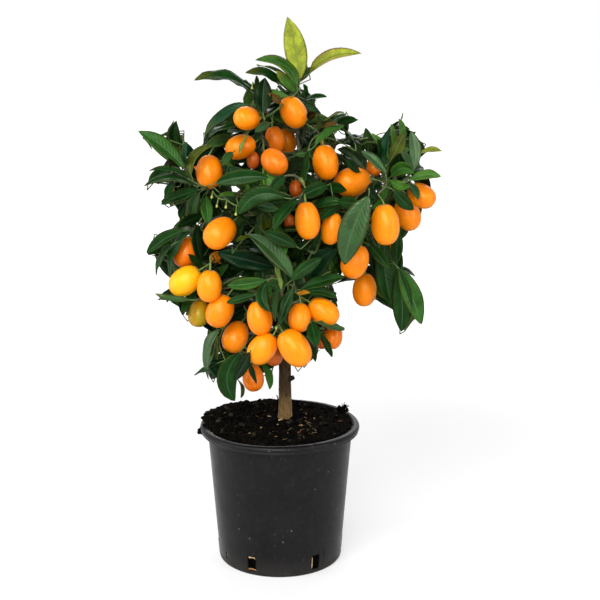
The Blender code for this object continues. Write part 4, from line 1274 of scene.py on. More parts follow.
NL, NW = 12, 7                               # rows along, columns across
U_COLS = np.array([-1.0, -0.70, -0.36, -0.055, 0.055, 0.36, 0.70, 1.0])


def blade_topology():
    cols = NW + 1
    quads_top, kinds_top, quads_low, kinds_low = [], [], [], []
    # upper side rows 0..NL-2 between the pointed ends, edges shared with the lower side
    def up(i, j):
        return i * cols + j
    n_top = (NL - 1) * cols
    def low(i, j):
        if j in (0, NW):
            return up(i, j)
        return n_top + i * (cols - 2) + (j - 1)
    for i in range(NL - 2):
        for j in range(NW):
            quads_top.append((up(i, j), up(i, j + 1), up(i + 1, j + 1), up(i + 1, j)))
            kinds_top.append(1 if j == 3 else 0)
            quads_low.append((low(i, j), low(i + 1, j), low(i + 1, j + 1), low(i, j + 1)))
            kinds_low.append(1 if j == 3 else 2)
    base_i = n_top + (NL - 1) * (cols - 2)
    tip_i = base_i + 1
    tris, kinds = [], []
    for j in range(NW):
        tris.append((base_i, up(0, j + 1), up(0, j)))
        kinds.append(1 if j == 3 else 0)
        tris.append((base_i, low(0, j), low(0, j + 1)))
        kinds.append(1 if j == 3 else 2)
        tris.append((tip_i, up(NL - 2, j), up(NL - 2, j + 1)))
        kinds.append(1 if j == 3 else 0)
        tris.append((tip_i, low(NL - 2, j + 1), low(NL - 2, j)))
        kinds.append(1 if j == 3 else 2)
    return np.array(quads_top + quads_low), np.array(kinds_top + kinds_low), np.array(tris), np.array(kinds)


BQ, BQK, BT, BTK = blade_topology()


def blade_points(leaf):
    """One closed thin blade along its midrib: pointed oval, folded along the midrib, edges curling and waving."""
    if leaf.points is not None:
        return leaf.points
    r = random.Random(int(leaf.seed * 1e6) % 99991)
    young = leaf.tone in ("young", "pale")
    v = np.concatenate([[0.0], (np.arange(1, NL) / NL) ** 1.0, [1.0]])
    v[1], v[-2] = 0.035, 0.955
    line = leaf.line(101)
    seg = np.concatenate([[0], np.cumsum(np.linalg.norm(np.diff(line, axis=0), axis=1))])
    mid = np.stack([np.interp(v * seg[-1], seg, line[:, k]) for k in range(3)], 1)
    tan = np.gradient(mid, axis=0)
    tan /= np.linalg.norm(tan, axis=1)[:, None]
    n = leaf.n - tan * (tan @ leaf.n)[:, None]
    n /= np.maximum(np.linalg.norm(n, axis=1), 1e-9)[:, None]
    twist = r.uniform(-0.25, 0.25)
    side = np.cross(tan, n)
    ang = (v - 0.45) * twist
    n, side = n * np.cos(ang)[:, None] + side * np.sin(ang)[:, None], side * np.cos(ang)[:, None] - n * np.sin(ang)[:, None]
    a, b = r.uniform(0.78, 0.98), r.uniform(0.80, 1.02)
    peak = a / (a + b)
    shape = (v ** a * (1 - v) ** b) / (peak ** a * (1 - peak) ** b)
    half = leaf.w / 2 * np.maximum(shape, 0.0) ** 0.92
    fold = radians(r.uniform(13, 30))
    curl = r.uniform(0.02, 0.30)
    wave, phase, turns = r.uniform(0.01, 0.07), r.uniform(0, 6.28), r.uniform(1.2, 2.6)
    u = U_COLS
    au = np.abs(u)
    out = half[:, None] * u[None, :] * cos(fold)
    lift = half[:, None] * (au * sin(fold) - curl * au ** 2.2)[None, :]
    ripple = half[:, None] * wave * 2.2 * (au ** 1.6)[None, :] * np.sin(2 * pi * turns * v + phase)[:, None]
    ripple = ripple * np.where(u < 0, 1.0, 0.8)[None, :] + half[:, None] * 0.5 * wave * np.sign(u)[None, :] \
        * np.cos(2 * pi * turns * 1.3 * v + phase * 2)[:, None] * (au ** 2)[None, :]
    rib = np.where(au < 0.2, 1.0, 0.0)[None, :] * np.minimum(half[:, None] * 0.05, 0.00035)
    pos = mid[:, None, :] + side[:, None, :] * out[:, :, None] + n[:, None, :] * (lift + ripple)[:, :, None]
    top = pos + n[:, None, :] * (0.00012 - rib * 0.9)[:, :, None]
    low = pos - n[:, None, :] * (0.00014 + rib * 1.4)[:, :, None]
    verts = np.concatenate([top[1:NL].reshape(-1, 3), low[1:NL, 1:-1].reshape(-1, 3), [mid[0]], [mid[NL]]])
    uu = np.broadcast_to((u * 0.5 + 0.5)[None, :], (NL + 1, NW + 1))
    vv = np.broadcast_to(v[:, None], (NL + 1, NW + 1))
    uv = np.stack([uu, vv], -1)
    uv_all = np.concatenate([uv[1:NL].reshape(-1, 2), uv[1:NL, 1:-1].reshape(-1, 2), [[0.5, 0.0]], [[0.5, 1.0]]])
    uv_all = uv_all.copy()
    aged = np.zeros(len(verts))
    if "t" in leaf.notes:
        aged = np.maximum(aged, np.clip((uv_all[:, 1] - 0.62) / 0.30, 0, 1))
    if "e" in leaf.notes:
        aged = np.maximum(aged, np.clip((np.abs(uv_all[:, 0] - 0.5) * 2 - 0.60) / 0.40, 0, 1) * 0.9)
    # painted light: every blade gets a thin pale rim along its edge, for light that shows through the thin margin and
    # catches it
    aged = np.maximum(aged, np.clip((np.abs(uv_all[:, 0] - 0.5) * 2 - 0.90) / 0.10, 0, 1) * (0.50 if not young else 0.15))
    leaf.points = verts, uv_all, aged
    return leaf.points


def blade_shape(soup, leaf, slot_of):
    verts, uv_all, aged = blade_points(leaf)
    s0, s1, s2 = slot_of(leaf.tone)
    look = np.array([s0, s1, s2])
    quads, qk, tris, tk = BQ, BQK, BT, BTK
    soup.add(verts, quads[:, ::-1], tris[:, ::-1], look[qk], look[tk], uv_all, aged)


# ---------------------------------------------------------------- sprays that fill the masses all round
HERO_SAMPLES = None


GRID = 2                                     # pixels of the front view's coverage grid


def coverage(leaves, fruits, near=-1e9, far=1e9):
    """How far each point of the front view lies outside (above 0) or inside the leaves and fruit that are placed one by one."""
    n = 600 // GRID
    gx, gy = np.meshgrid(np.arange(n) * GRID, np.arange(n) * GRID)
    field = np.full((n, n), 1e3)
    spots = []
    for leaf in leaves:
        s = seen(leaf.line(11))
        v = np.linspace(0, 1, 11)
        half = leaf.vis / 2 * np.sqrt(np.maximum(4 * v * (1 - v), 0.02)) * CAM_F / s[:, 2]
        spots += [(x, y, r) for (x, y, _), r in zip(s, half)]
    for f in fruits:
        for k in (-0.35, 0.0, 0.35):
            s = seen(f.c + f.axis * f.hl * k)[0]
            spots.append((s[0], s[1], f.r * CAM_F / s[2] * (1.0 if k == 0 else 0.9)))
    for x, y, r in spots:
        reach = r + 16
        x0, x1 = max(0, int((x - reach) / GRID)), min(n, int((x + reach) / GRID) + 2)
        y0, y1 = max(0, int((y - reach) / GRID)), min(n, int((y + reach) / GRID) + 2)
        if x0 < x1 and y0 < y1:
            part = np.hypot(gx[y0:y1, x0:x1] - x, gy[y0:y1, x0:x1] - y) - r
            field[y0:y1, x0:x1] = np.minimum(field[y0:y1, x0:x1], part)
    return field


JOIN = 4.5                                   # pixels; spaces narrower than twice this count as crown


def outline_field(field):
    """How far each point of the front view lies outside (above 0) or inside the crown, which is worked out from the
    placed leaves and fruit: joined over the narrow spaces between them, with everything that they close in."""
    n = field.shape[0]
    free = field >= JOIN
    out = np.zeros((n, n), bool)
    out[0, :] = out[-1, :] = out[:, 0] = out[:, -1] = True
    while True:
        grown = out.copy()
        grown[1:] |= out[:-1]
        grown[:-1] |= out[1:]
        grown[:, 1:] |= out[:, :-1]
        grown[:, :-1] |= out[:, 1:]
        grown &= free | out
        if (grown == out).all():
            break
        out = grown
    beside = np.zeros((n, n), bool)
    beside[1:] |= ~out[:-1]
    beside[:-1] |= ~out[1:]
    beside[:, 1:] |= ~out[:, :-1]
    beside[:, :-1] |= ~out[:, 1:]
    ey, ex = np.nonzero(out & beside)
    iy, ix = np.nonzero(~out)
    result = np.maximum(field, JOIN)
    for k in range(0, len(iy), 1500):
        y, x = iy[k:k + 1500], ix[k:k + 1500]
        result[y, x] = JOIN - GRID * np.hypot(y[:, None] - ey[None], x[:, None] - ex[None]).min(1)
    return result


def screen_of(blades, fruits):
    """A tree of the leaves and fruit for lines of sight."""
    soup = Soup()
    for b in blades:
        soup.add(blade_points(b)[0], BQ, BT)
    for k, f in enumerate(fruits):
        fruit_shape(soup, f, 0, k, 12, 8)
    verts = [tuple(v) for v in np.concatenate(soup.v)]
    faces = [tuple(q) for q in np.concatenate(soup.q).tolist()] + [tuple(t) for t in np.concatenate(soup.t).tolist()]
    return BVHTree.FromPolygons(verts, faces)


def read_field(field, s):
    ix = np.clip((s[:, 0] / GRID).astype(int), 0, field.shape[1] - 1)
    iy = np.clip((s[:, 1] / GRID).astype(int), 0, field.shape[0] - 1)
    return field[iy, ix]


def hidden_rules(fruits, leaves, outline):
    """What the view from the front allows: no leaf over a fruit that shows, none in an open gap, none past the outline."""
    pts, rad, dep = [], [], []
    for leaf in leaves:
        s = seen(leaf.line(9))[1:8]
        pts.append(s[:, :2])
        rad.append(np.full(7, leaf.vis * 0.34) * CAM_F / s[:, 2])
        dep.append(s[:, 2])
    pts, rad, dep = np.concatenate(pts), np.concatenate(rad), np.concatenate(dep)
    shown = [f for f in fruits if f.hero]
    fc = np.concatenate([seen(np.array([f.c, f.c + f.axis * f.hl * 0.38, f.c - f.axis * f.hl * 0.38])) for f in shown])
    fr = np.repeat([f.r for f in shown], 3) * np.tile([1.05, 0.95, 0.95], len(shown)) * CAM_F / fc[:, 2]
    sky = np.array(SKY + CLEAR)
    all_c = np.array([f.c + f.axis * f.hl * k for f in fruits for k in (-0.3, 0.3)])
    all_r = np.array([f.r * 1.03 + 0.0012 for f in fruits for k in (0, 1)])

    def allowed(blade):
        p = blade.line(7)
        side = unit(np.cross(blade.t - blade.b, blade.n)) * blade.w * 0.42
        q = np.vstack([p, p[2:5] + side, p[2:5] - side])
        if np.min(np.linalg.norm(q[:, None] - all_c[None], axis=2) - all_r[None]) < 0:
            return False
        s = seen(q)
        out = read_field(outline, s)
        if out.max() > 0.3 or (out > -1.0).sum() > 2 or s[:, 1].min() < 60:
            return False
        d = np.hypot(s[:, None, 0] - sky[None, :, 0], s[:, None, 1] - sky[None, :, 1])
        if (d < sky[None, :, 2]).any():
            return False
        d = np.hypot(s[:, None, 0] - fc[None, :, 0], s[:, None, 1] - fc[None, :, 1])
        if ((d < fr[None]) & (s[:, None, 2] < fc[None, :, 2])).any():
            return False
        # stays behind the leaves that show
        d = np.hypot(s[:, None, 0] - pts[None, :, 0], s[:, None, 1] - pts[None, :, 1])
        if ((d < np.maximum(rad[None], 2.5)) & (s[:, None, 2] < dep[None] + 0.001)).any():
            return False
        return True
    return allowed


# leaves to add in each mass
WANTED = {"tip": 10, "crown_left": 24, "crown_right": 18, "crown_back": 40, "left_shoulder": 24, "left_waist": 22,
          "centre": 26, "left_low": 22, "middle_low": 22, "right_shoulder": 28, "right_waist": 22, "right_hanging": 20,
          "skirt_left": 16, "skirt_right": 14, "back_left": 60, "back_right": 60, "back_low": 44}
# the inner mix is painted shade: the darkest tones go to leaves deep in a mass
TONE_MIX = {"outer": (("mid", 30), ("dark", 34), ("grey", 10), ("teal", 9), ("bright", 7), ("olive", 4), ("vdark", 6)),
            "inner": (("vdark", 45), ("dark", 40), ("teal", 12), ("mid", 3))}


def clear_of_column(p, extra=0.003):
    for q in p:
        if q[2] < 0.312:
            c = along(TRUNK_AXIS, max(q[2], 0.1712))
            if math.hypot(q[0] - c[0], q[1] - c[1]) < 0.0075 + extra:
                return False
        elif q[2] < 0.536:
            c = along(LEADER_AXIS, max(q[2], 0.3126))
            if math.hypot(q[0] - c[0], q[1] - c[1]) < 0.005 + extra:
                return False
    return True


def inside_box(p, margin=0.001):
    lo, hi = cad_box
    return all(lo[k] - margin <= q[k] <= hi[k] + margin for q in p for k in range(3))


def fill_sprays(allowed, placed):
    """Short leafy shoots growing outwards in every mass; leaves set round each shoot in a spiral."""
    sprays = []
    centres = [leaf.line(5)[2] for leaf in placed]
    for mass, count in WANTED.items():
        c, h = np.array(MASSES[mass][0]), np.array(MASSES[mass][1])
        r = random.Random(900 + MNAMES.index(mass))
        away = unit(np.array([c[0], c[1], 0.0]) + np.array([1e-6, 0, 0]))
        stands, s = 0, -1
        while stands < count and s < 90:
            s += 1
            # directions spread evenly over the ball, turned out from the trunk
            g = ((s * 0.618034) % 1.0) * 0.96 + 0.02
            polar = math.acos(1 - 2 * g)
            turn = s * 2.399963 + MNAMES.index(mass)
            d = np.array([sin(polar) * cos(turn), sin(polar) * sin(turn), cos(polar)])
            d = unit(d + away * 0.35 + np.array([r.gauss(0, 0.2) for _ in range(3)]))
            reach = 1.0 / sqrt(((d / h) ** 2).sum())
            root = c + d * reach * r.uniform(0.05, 0.20)
            end = c + d * reach * r.uniform(0.62, 0.80)
            sag = np.array([0, 0, -0.10 * np.linalg.norm(end - root)])
            mid = (root + end) / 2 - sag
            shoot = spline([root, mid, end], 8)
            n_leaf = r.choice([4, 5, 5, 6])
            tone_spray = r.choices([t for t, _ in TONE_MIX["outer"]], [w for _, w in TONE_MIX["outer"]])[0]
            blades = []
            for k in range(n_leaf):
                for attempt in range(9):
                    f = (k + 0.6 + r.uniform(-0.2, 0.2)) / n_leaf if k < n_leaf - 1 else 1.0
                    i = min(len(shoot) - 1, int(f * (len(shoot) - 1)))
                    p = shoot[i]
                    ax = unit(shoot[min(i + 1, len(shoot) - 1)] - shoot[max(i - 1, 0)])
                    ref = unit(np.cross(ax, [0.31, 0.2, 0.93]))
                    other = np.cross(ax, ref)
                    phi = k * 2.4 + s + attempt * 1.7 + r.uniform(-0.3, 0.3)
                    radial = ref * cos(phi) + other * sin(phi)
                    open_ = radians(r.uniform(38, 66)) if k < n_leaf - 1 else radians(r.uniform(5, 25))
                    ld = unit(ax * cos(open_) + radial * sin(open_) + np.array([0, 0, 0.10]))
                    length = r.uniform(0.042, 0.062) * (0.9 if attempt > 3 else 1.0)
                    base = p + ld * 0.008
                    tip = base + ld * length
                    up = unit(np.array([0, 0, 1.0]) * 0.9 + radial * 0.35 + ax * 0.25 + np.array([r.gauss(0, 0.22) for _ in range(3)]))
                    arch = r.uniform(0.03, 0.13) * length
                    tip = tip + np.array([0, 0, -arch * 1.1])
                    m = (base + tip) / 2 + up * arch * 0.6
                    q = (tip - c) / h
                    if np.linalg.norm(q) > 1.22:
                        continue
                    tone = tone_spray if r.random() < 0.62 else r.choices([t for t, _ in TONE_MIX["outer"]],
                                                                          [w for _, w in TONE_MIX["outer"]])[0]
                    # painted shade: leaves near the middle of the mass take the inner, darker tones
                    if np.linalg.norm((m - c) / h) < 0.5:
                        tone = r.choices([t for t, _ in TONE_MIX["inner"]], [w for _, w in TONE_MIX["inner"]])[0]
                    blade = Blade(base, m, tip, length * r.uniform(0.33, 0.40), up, tone, mass, "t" if r.random() < 0.06 else "")
                    pts = blade.line(6)
                    if not inside_box(pts) or not clear_of_column(pts) or pts[:, 2].min() < 0.205:
                        continue
                    if centres and np.min(np.linalg.norm(np.array(centres) - pts[2], axis=1)) < 0.0085:
                        continue
                    if not allowed(blade):
                        continue
                    blades.append((i, blade))
                    centres.append(pts[2])
                    break
            if len(blades) >= 2:
                last = max(i for i, _ in blades)
                sprays.append((mass, shoot[:last + 1], blades))
                stands += len(blades)
    return sprays


def back_fruit(fruits, field):
    """Fruit on the sides and back, which the view from the front doesn't show."""
    r = random.Random(77)
    made = []
    wanted = {"back_left": 13, "back_right": 13, "back_low": 8, "crown_back": 9, "left_shoulder": 3, "left_waist": 3,
              "right_shoulder": 4, "right_hanging": 2, "right_waist": 2, "centre": 2}
    for mass, count in wanted.items():
        c, h = np.array(MASSES[mass][0]), np.array(MASSES[mass][1])
        out = 0
        for attempt in range(900):
            if out >= count:
                break
            d = unit(np.array([r.gauss(0, 1), abs(r.gauss(0, 1)) + 0.25, r.gauss(-0.35, 0.8)]))
            reach = 1.0 / sqrt(((d / h) ** 2).sum())
            p = c + d * reach * r.uniform(0.70, 0.92)
            radius = r.uniform(0.0142, 0.0172)
            if p[1] < 0.012 or p[2] < 0.25 or not clear_of_column([p], radius + 0.004):
                continue
            if any(np.linalg.norm(p - f.c) < (f.r + radius) * 1.18 for f in fruits + made):
                continue
            px, py, dep = seen(p)[0]
            size = radius * CAM_F / dep
            probe = np.array([[px + size * k * cos(a), py + size * 1.2 * k * sin(a)] for k in (0.0, 0.5, 0.9)
                              for a in np.arange(8) * pi / 4])
            if (read_field(field, probe) < -0.5).mean() < 0.55 or p[1] < 0.018:
                continue
            axis = unit(np.array([r.gauss(0, 0.35), r.gauss(0, 0.35), 1.0]) - d * 0.25)
            peel = r.choices(["orange", "light", "deep", "yellow", "turning"], [10, 3, 3, 1, 1])[0]
            made.append(Kumquat(p, axis, radius * r.uniform(1.24, 1.36), radius, peel))
            out += 1
    return made


def hidden_share(tree, f):
    """How much of a fruit's disc something nearer hides from the front."""
    eye = np.array(CAM_POS)
    d = unit(f.c - eye)
    a = unit(np.cross(d, [0, 0, 1.0]))
    b = np.cross(a, d)
    hits = []
    for ring, count in ((0.0, 1), (0.45, 7), (0.75, 11), (0.97, 15)):
        for k in range(count):
            t = 2 * pi * k / count
            p = f.c + (a * cos(t) * f.r + b * sin(t) * f.hl) * ring
            reach = np.linalg.norm(p - eye)
            hits.append(tree.ray_cast(Vector(eye), Vector((p - eye) / reach), reach - 0.004)[0] is not None)
    return float(np.mean(hits))


def drop_seen(fruits, blades):
    """Keeps the traced fruit and those of the others that the leaves and fruit in front of them hide from the front."""
    tree = screen_of(blades, [f for f in fruits if f.hero])
    return [f for f in fruits if f.hero or hidden_share(tree, f) > 0.975]


def fill_back(fruits, leaves, sprays):
    """More fruit on the back and sides, only where leaves and fruit hide it from the front; leaves in its place go."""
    r = random.Random(123)
    blades = leaves + [b for _, _, bl in sprays for _, b in bl]
    tree = screen_of(blades, [f for f in fruits if f.hero])
    mids = np.array([b.line(5) for b in blades])
    hero = np.array([b.hero for b in blades])
    wanted = {"back_left": 8, "back_right": 8, "back_low": 5, "crown_back": 6, "left_shoulder": 2, "left_waist": 2,
              "right_shoulder": 3, "right_hanging": 2, "skirt_left": 1, "centre": 1}
    gone = set()
    for mass, count in wanted.items():
        c, h = np.array(MASSES[mass][0]), np.array(MASSES[mass][1])
        out = sum(1 for f in fruits if not f.hero and np.linalg.norm((f.c - c) / h) < 1.0)
        for attempt in range(260):
            if out >= count:
                break
            d = unit(np.array([r.gauss(0, 1), abs(r.gauss(0, 1)) + 0.2, r.gauss(-0.2, 0.8)]))
            p = c + d / sqrt(((d / h) ** 2).sum()) * r.uniform(0.60, 0.95)
            radius = r.uniform(0.0142, 0.0172)
            if p[1] < 0.018 or p[2] < 0.25 or not clear_of_column([p], radius + 0.004):
                continue
            if not inside_box([p + radius * 1.35, p - radius * 1.35]):
                continue
            if any(np.linalg.norm(p - f.c) < (f.r + radius) * 1.16 for f in fruits):
                continue
            near = np.linalg.norm(mids - p, axis=2).min(1) < radius * 1.12
            near[list(gone)] = False
            if (near & hero).any() or near.sum() > 3:
                continue
            axis = unit(np.array([r.gauss(0, 0.35), r.gauss(0, 0.35), 1.0]) - d * 0.25)
            peel = r.choices(["orange", "light", "deep", "yellow", "turning"], [10, 3, 3, 1, 1])[0]
            fruit = Kumquat(p, axis, radius * r.uniform(1.24, 1.36), radius, peel)
            if hidden_share(tree, fruit) < 0.975:
                continue
            fruits.append(fruit)
            gone |= set(np.nonzero(near)[0].tolist())
            out += 1
    lost = {id(blades[k]) for k in gone}
    leaves = [b for b in leaves if id(b) not in lost]
    kept = []
    for mass, shoot, bl in sprays:
        bl = [(i, b) for i, b in bl if id(b) not in lost]
        if bl:
            kept.append((mass, shoot[:max(i for i, _ in bl) + 1], bl))
    print("back fruit", sum(not f.hero for f in fruits), "leaves taken out", len(lost))
    return fruits, leaves, kept


def open_spots(tree, outline):
    """Grid points of the front view inside the outline, off the open gaps, where nothing stands in the line of sight."""
    n = 600 // GRID
    eye = Vector(CAM_POS)
    want = outline < -2.5
    gx, gy = np.meshgrid(np.arange(n) * GRID, np.arange(n) * GRID)
    for x, y, size in SKY + CLEAR:
        want &= np.hypot(gx - x, gy - y) > size + 1.0
    want &= (gy < 372) & (gy > 92)
    for iy, ix in zip(*np.nonzero(want)):
        d = Vector(at(ix * GRID, iy * GRID, 0.0)) - eye
        if tree.ray_cast(eye, d.normalized(), 3.0)[0] is not None:
            want[iy, ix] = False
    return want


def patch_gaps(allowed, blades, fruits, outline):
    """Dark inner leaves where the crown would stand open although the view shows leaves behind leaves there; their
    darkest tones are painted shade.
    """
    r = random.Random(31)
    blades = list(blades)
    n = outline.shape[0]
    gx, gy = np.meshgrid(np.arange(n) * GRID, np.arange(n) * GRID)
    centres = [b.line(5)[2] for b in blades]
    added = []
    for turn in range(5):
        want = open_spots(screen_of(blades + added, fruits), outline)
        found_now = 0
        tries = 0
        while want.any() and tries < 240:
            tries += 1
            depth_map, m = np.zeros(want.shape), want.copy()
            while m.any():
                depth_map += m
                m = m & np.roll(m, 1, 0) & np.roll(m, -1, 0) & np.roll(m, 1, 1) & np.roll(m, -1, 1)
            k = int(np.argmax(depth_map))
            if depth_map.flat[k] < 2 and turn == 0:
                break
            px, py = float(gx.flat[k]), float(gy.flat[k])
            y0, mass = front_of(px, py)
            found = None
            for attempt in range(30):
                depth = y0 + r.uniform(0.012, 0.110)
                m3 = at(px + r.uniform(-2.5, 2.5), py + r.uniform(-2.5, 2.5), depth)
                out = unit(m3 - np.array([0.004, 0.02, m3[2] - 0.02]))
                d = unit(out * r.uniform(0.0, 1.0) + np.array([r.gauss(0, 0.9), r.gauss(0, 0.45), r.gauss(-0.1, 0.8)]))
                length = r.uniform(0.034, 0.058) * (1.0 if attempt < 14 else 0.66)
                up = unit(np.array([0, -0.60, 0.70]) + np.array([r.gauss(0, 0.35) for _ in range(3)]))
                base, tip = m3 - d * length * 0.5, m3 + d * length * 0.5 + np.array([0, 0, -0.06 * length])
                tone = r.choices(["vdark", "dark", "teal", "mid", "olive"], [38, 42, 8, 9, 3])[0]
                blade = Blade(base, m3 + up * 0.04 * length, tip, length * r.uniform(0.34, 0.42), up, tone, mass)
                pts = blade.line(6)
                if not inside_box(pts) or not clear_of_column(pts, 0.002) or not allowed(blade):
                    continue
                if np.min(np.linalg.norm(np.array(centres) - pts[2], axis=1)) < 0.0055:
                    continue
                found = blade
                break
            if found is None:
                want &= np.hypot(gx - px, gy - py) > 3.0
                continue
            found_now += 1
            added.append(found)
            centres.append(found.line(5)[2])
            want &= coverage([found], []) > 0.0
            want &= np.hypot(gx - px, gy - py) > 1.0
        if found_now == 0:
            break
    print("patched", len(added), "turns", turn + 1)
    return added


def patch_round(azimuth, height, allowed, blades, fruits, most):
    """Leaves where the masses would stand open from another side, the crown seen from far off at these angles."""
    r = random.Random(500 + azimuth + height)
    az, el = radians(azimuth), radians(height)
    e = np.array([sin(az) * cos(el), -cos(az) * cos(el), sin(el)])
    right = unit(np.cross([0, 0, 1.0], e)) if height < 85 else np.array([1.0, 0, 0])
    up = np.cross(e, right)
    step, half = 0.0045, 0.225
    k = int(2 * half / step)
    gu, gv = np.meshgrid((np.arange(k) - k / 2) * step, (np.arange(k) - k / 2) * step)
    o = np.array([0.005, 0.0, 0.40]) + right * gu[..., None] + up * gv[..., None] + e * 0.8
    t_in, t_out, who = np.full(gu.shape, 9.0), np.zeros(gu.shape), np.full(gu.shape, -1)
    for m in range(len(MC)):
        h = MH[m] * 0.90
        oc, dd = (o - MC[m]) / h, -e / h
        a, b, c = dd.dot(dd), 2 * (oc * dd).sum(-1), (oc * oc).sum(-1) - 1
        disc = b * b - 4 * a * c
        root = np.sqrt(np.maximum(disc, 0))
        t0, t1 = (-b - root) / (2 * a), (-b + root) / (2 * a)
        near = (disc > 0) & (t0 < t_in)
        t_in[near], t_out[near], who[near] = t0[near], t1[near], m
    tree = screen_of(blades, fruits)
    want = who >= 0
    look = Vector(-e)
    for i, j in zip(*np.nonzero(want)):
        if tree.ray_cast(Vector(o[i, j]), look, 1.8)[0] is not None:
            want[i, j] = False
    whole = int((who >= 0).sum())
    open_now = int(want.sum())
    centres = [b.line(5)[2] for b in blades]
    added = []
    tries = 0
    while want.any() and len(added) < most and tries < most * 3:
        tries += 1
        deep, m = np.zeros(want.shape), want.copy()
        while m.any():
            deep += m
            m = m & np.roll(m, 1, 0) & np.roll(m, -1, 0) & np.roll(m, 1, 1) & np.roll(m, -1, 1)
        i, j = np.unravel_index(int(np.argmax(deep)), deep.shape)
        if deep[i, j] < 2:
            break
        mass = MNAMES[who[i, j]]
        found = None
        for attempt in range(22):
            t = t_in[i, j] + (t_out[i, j] - t_in[i, j]) * r.uniform(0.05, 0.75)
            m3 = o[i, j] - e * t + right * r.uniform(-0.003, 0.003) + up * r.uniform(-0.003, 0.003)
            out = unit(m3 - np.array([0.004, 0.01, m3[2] - 0.03]))
            d = unit(out * r.uniform(0.3, 1.0) + right * r.gauss(0, 0.8) + up * r.gauss(0, 0.6))
            length = r.uniform(0.040, 0.060) * (1.0 if attempt < 12 else 0.72)
            face = unit(e * 0.55 + np.array([0, 0, 0.75]) + np.array([r.gauss(0, 0.30) for _ in range(3)]))
            base, tip = m3 - d * length * 0.5, m3 + d * length * 0.5 + np.array([0, 0, -0.08 * length])
            tone = r.choices(["vdark", "dark", "teal", "mid", "grey", "bright"], [16, 44, 9, 22, 6, 3])[0]
            blade = Blade(base, m3 + face * 0.05 * length, tip, length * r.uniform(0.34, 0.42), face, tone, mass)
            pts = blade.line(6)
            if not inside_box(pts) or not clear_of_column(pts, 0.002) or not allowed(blade):
                continue
            if np.min(np.linalg.norm(np.array(centres) - pts[2], axis=1)) < 0.0065:
                continue
            found = blade
            break
        if found is None:
            want[max(0, i - 1):i + 2, max(0, j - 1):j + 2] = False
            continue
        added.append(found)
        centres.append(found.line(5)[2])
        for q in found.line(7)[1:6]:
            rel = q - o[i, j]
            du, dv = gu - gu[i, j] - rel.dot(right), gv - gv[i, j] - rel.dot(up)
            want &= np.hypot(du, dv) > max(0.0035, found.w * 0.36)
    print("side", azimuth, height, "open", open_now, "of", whole, "added", len(added))
    return added


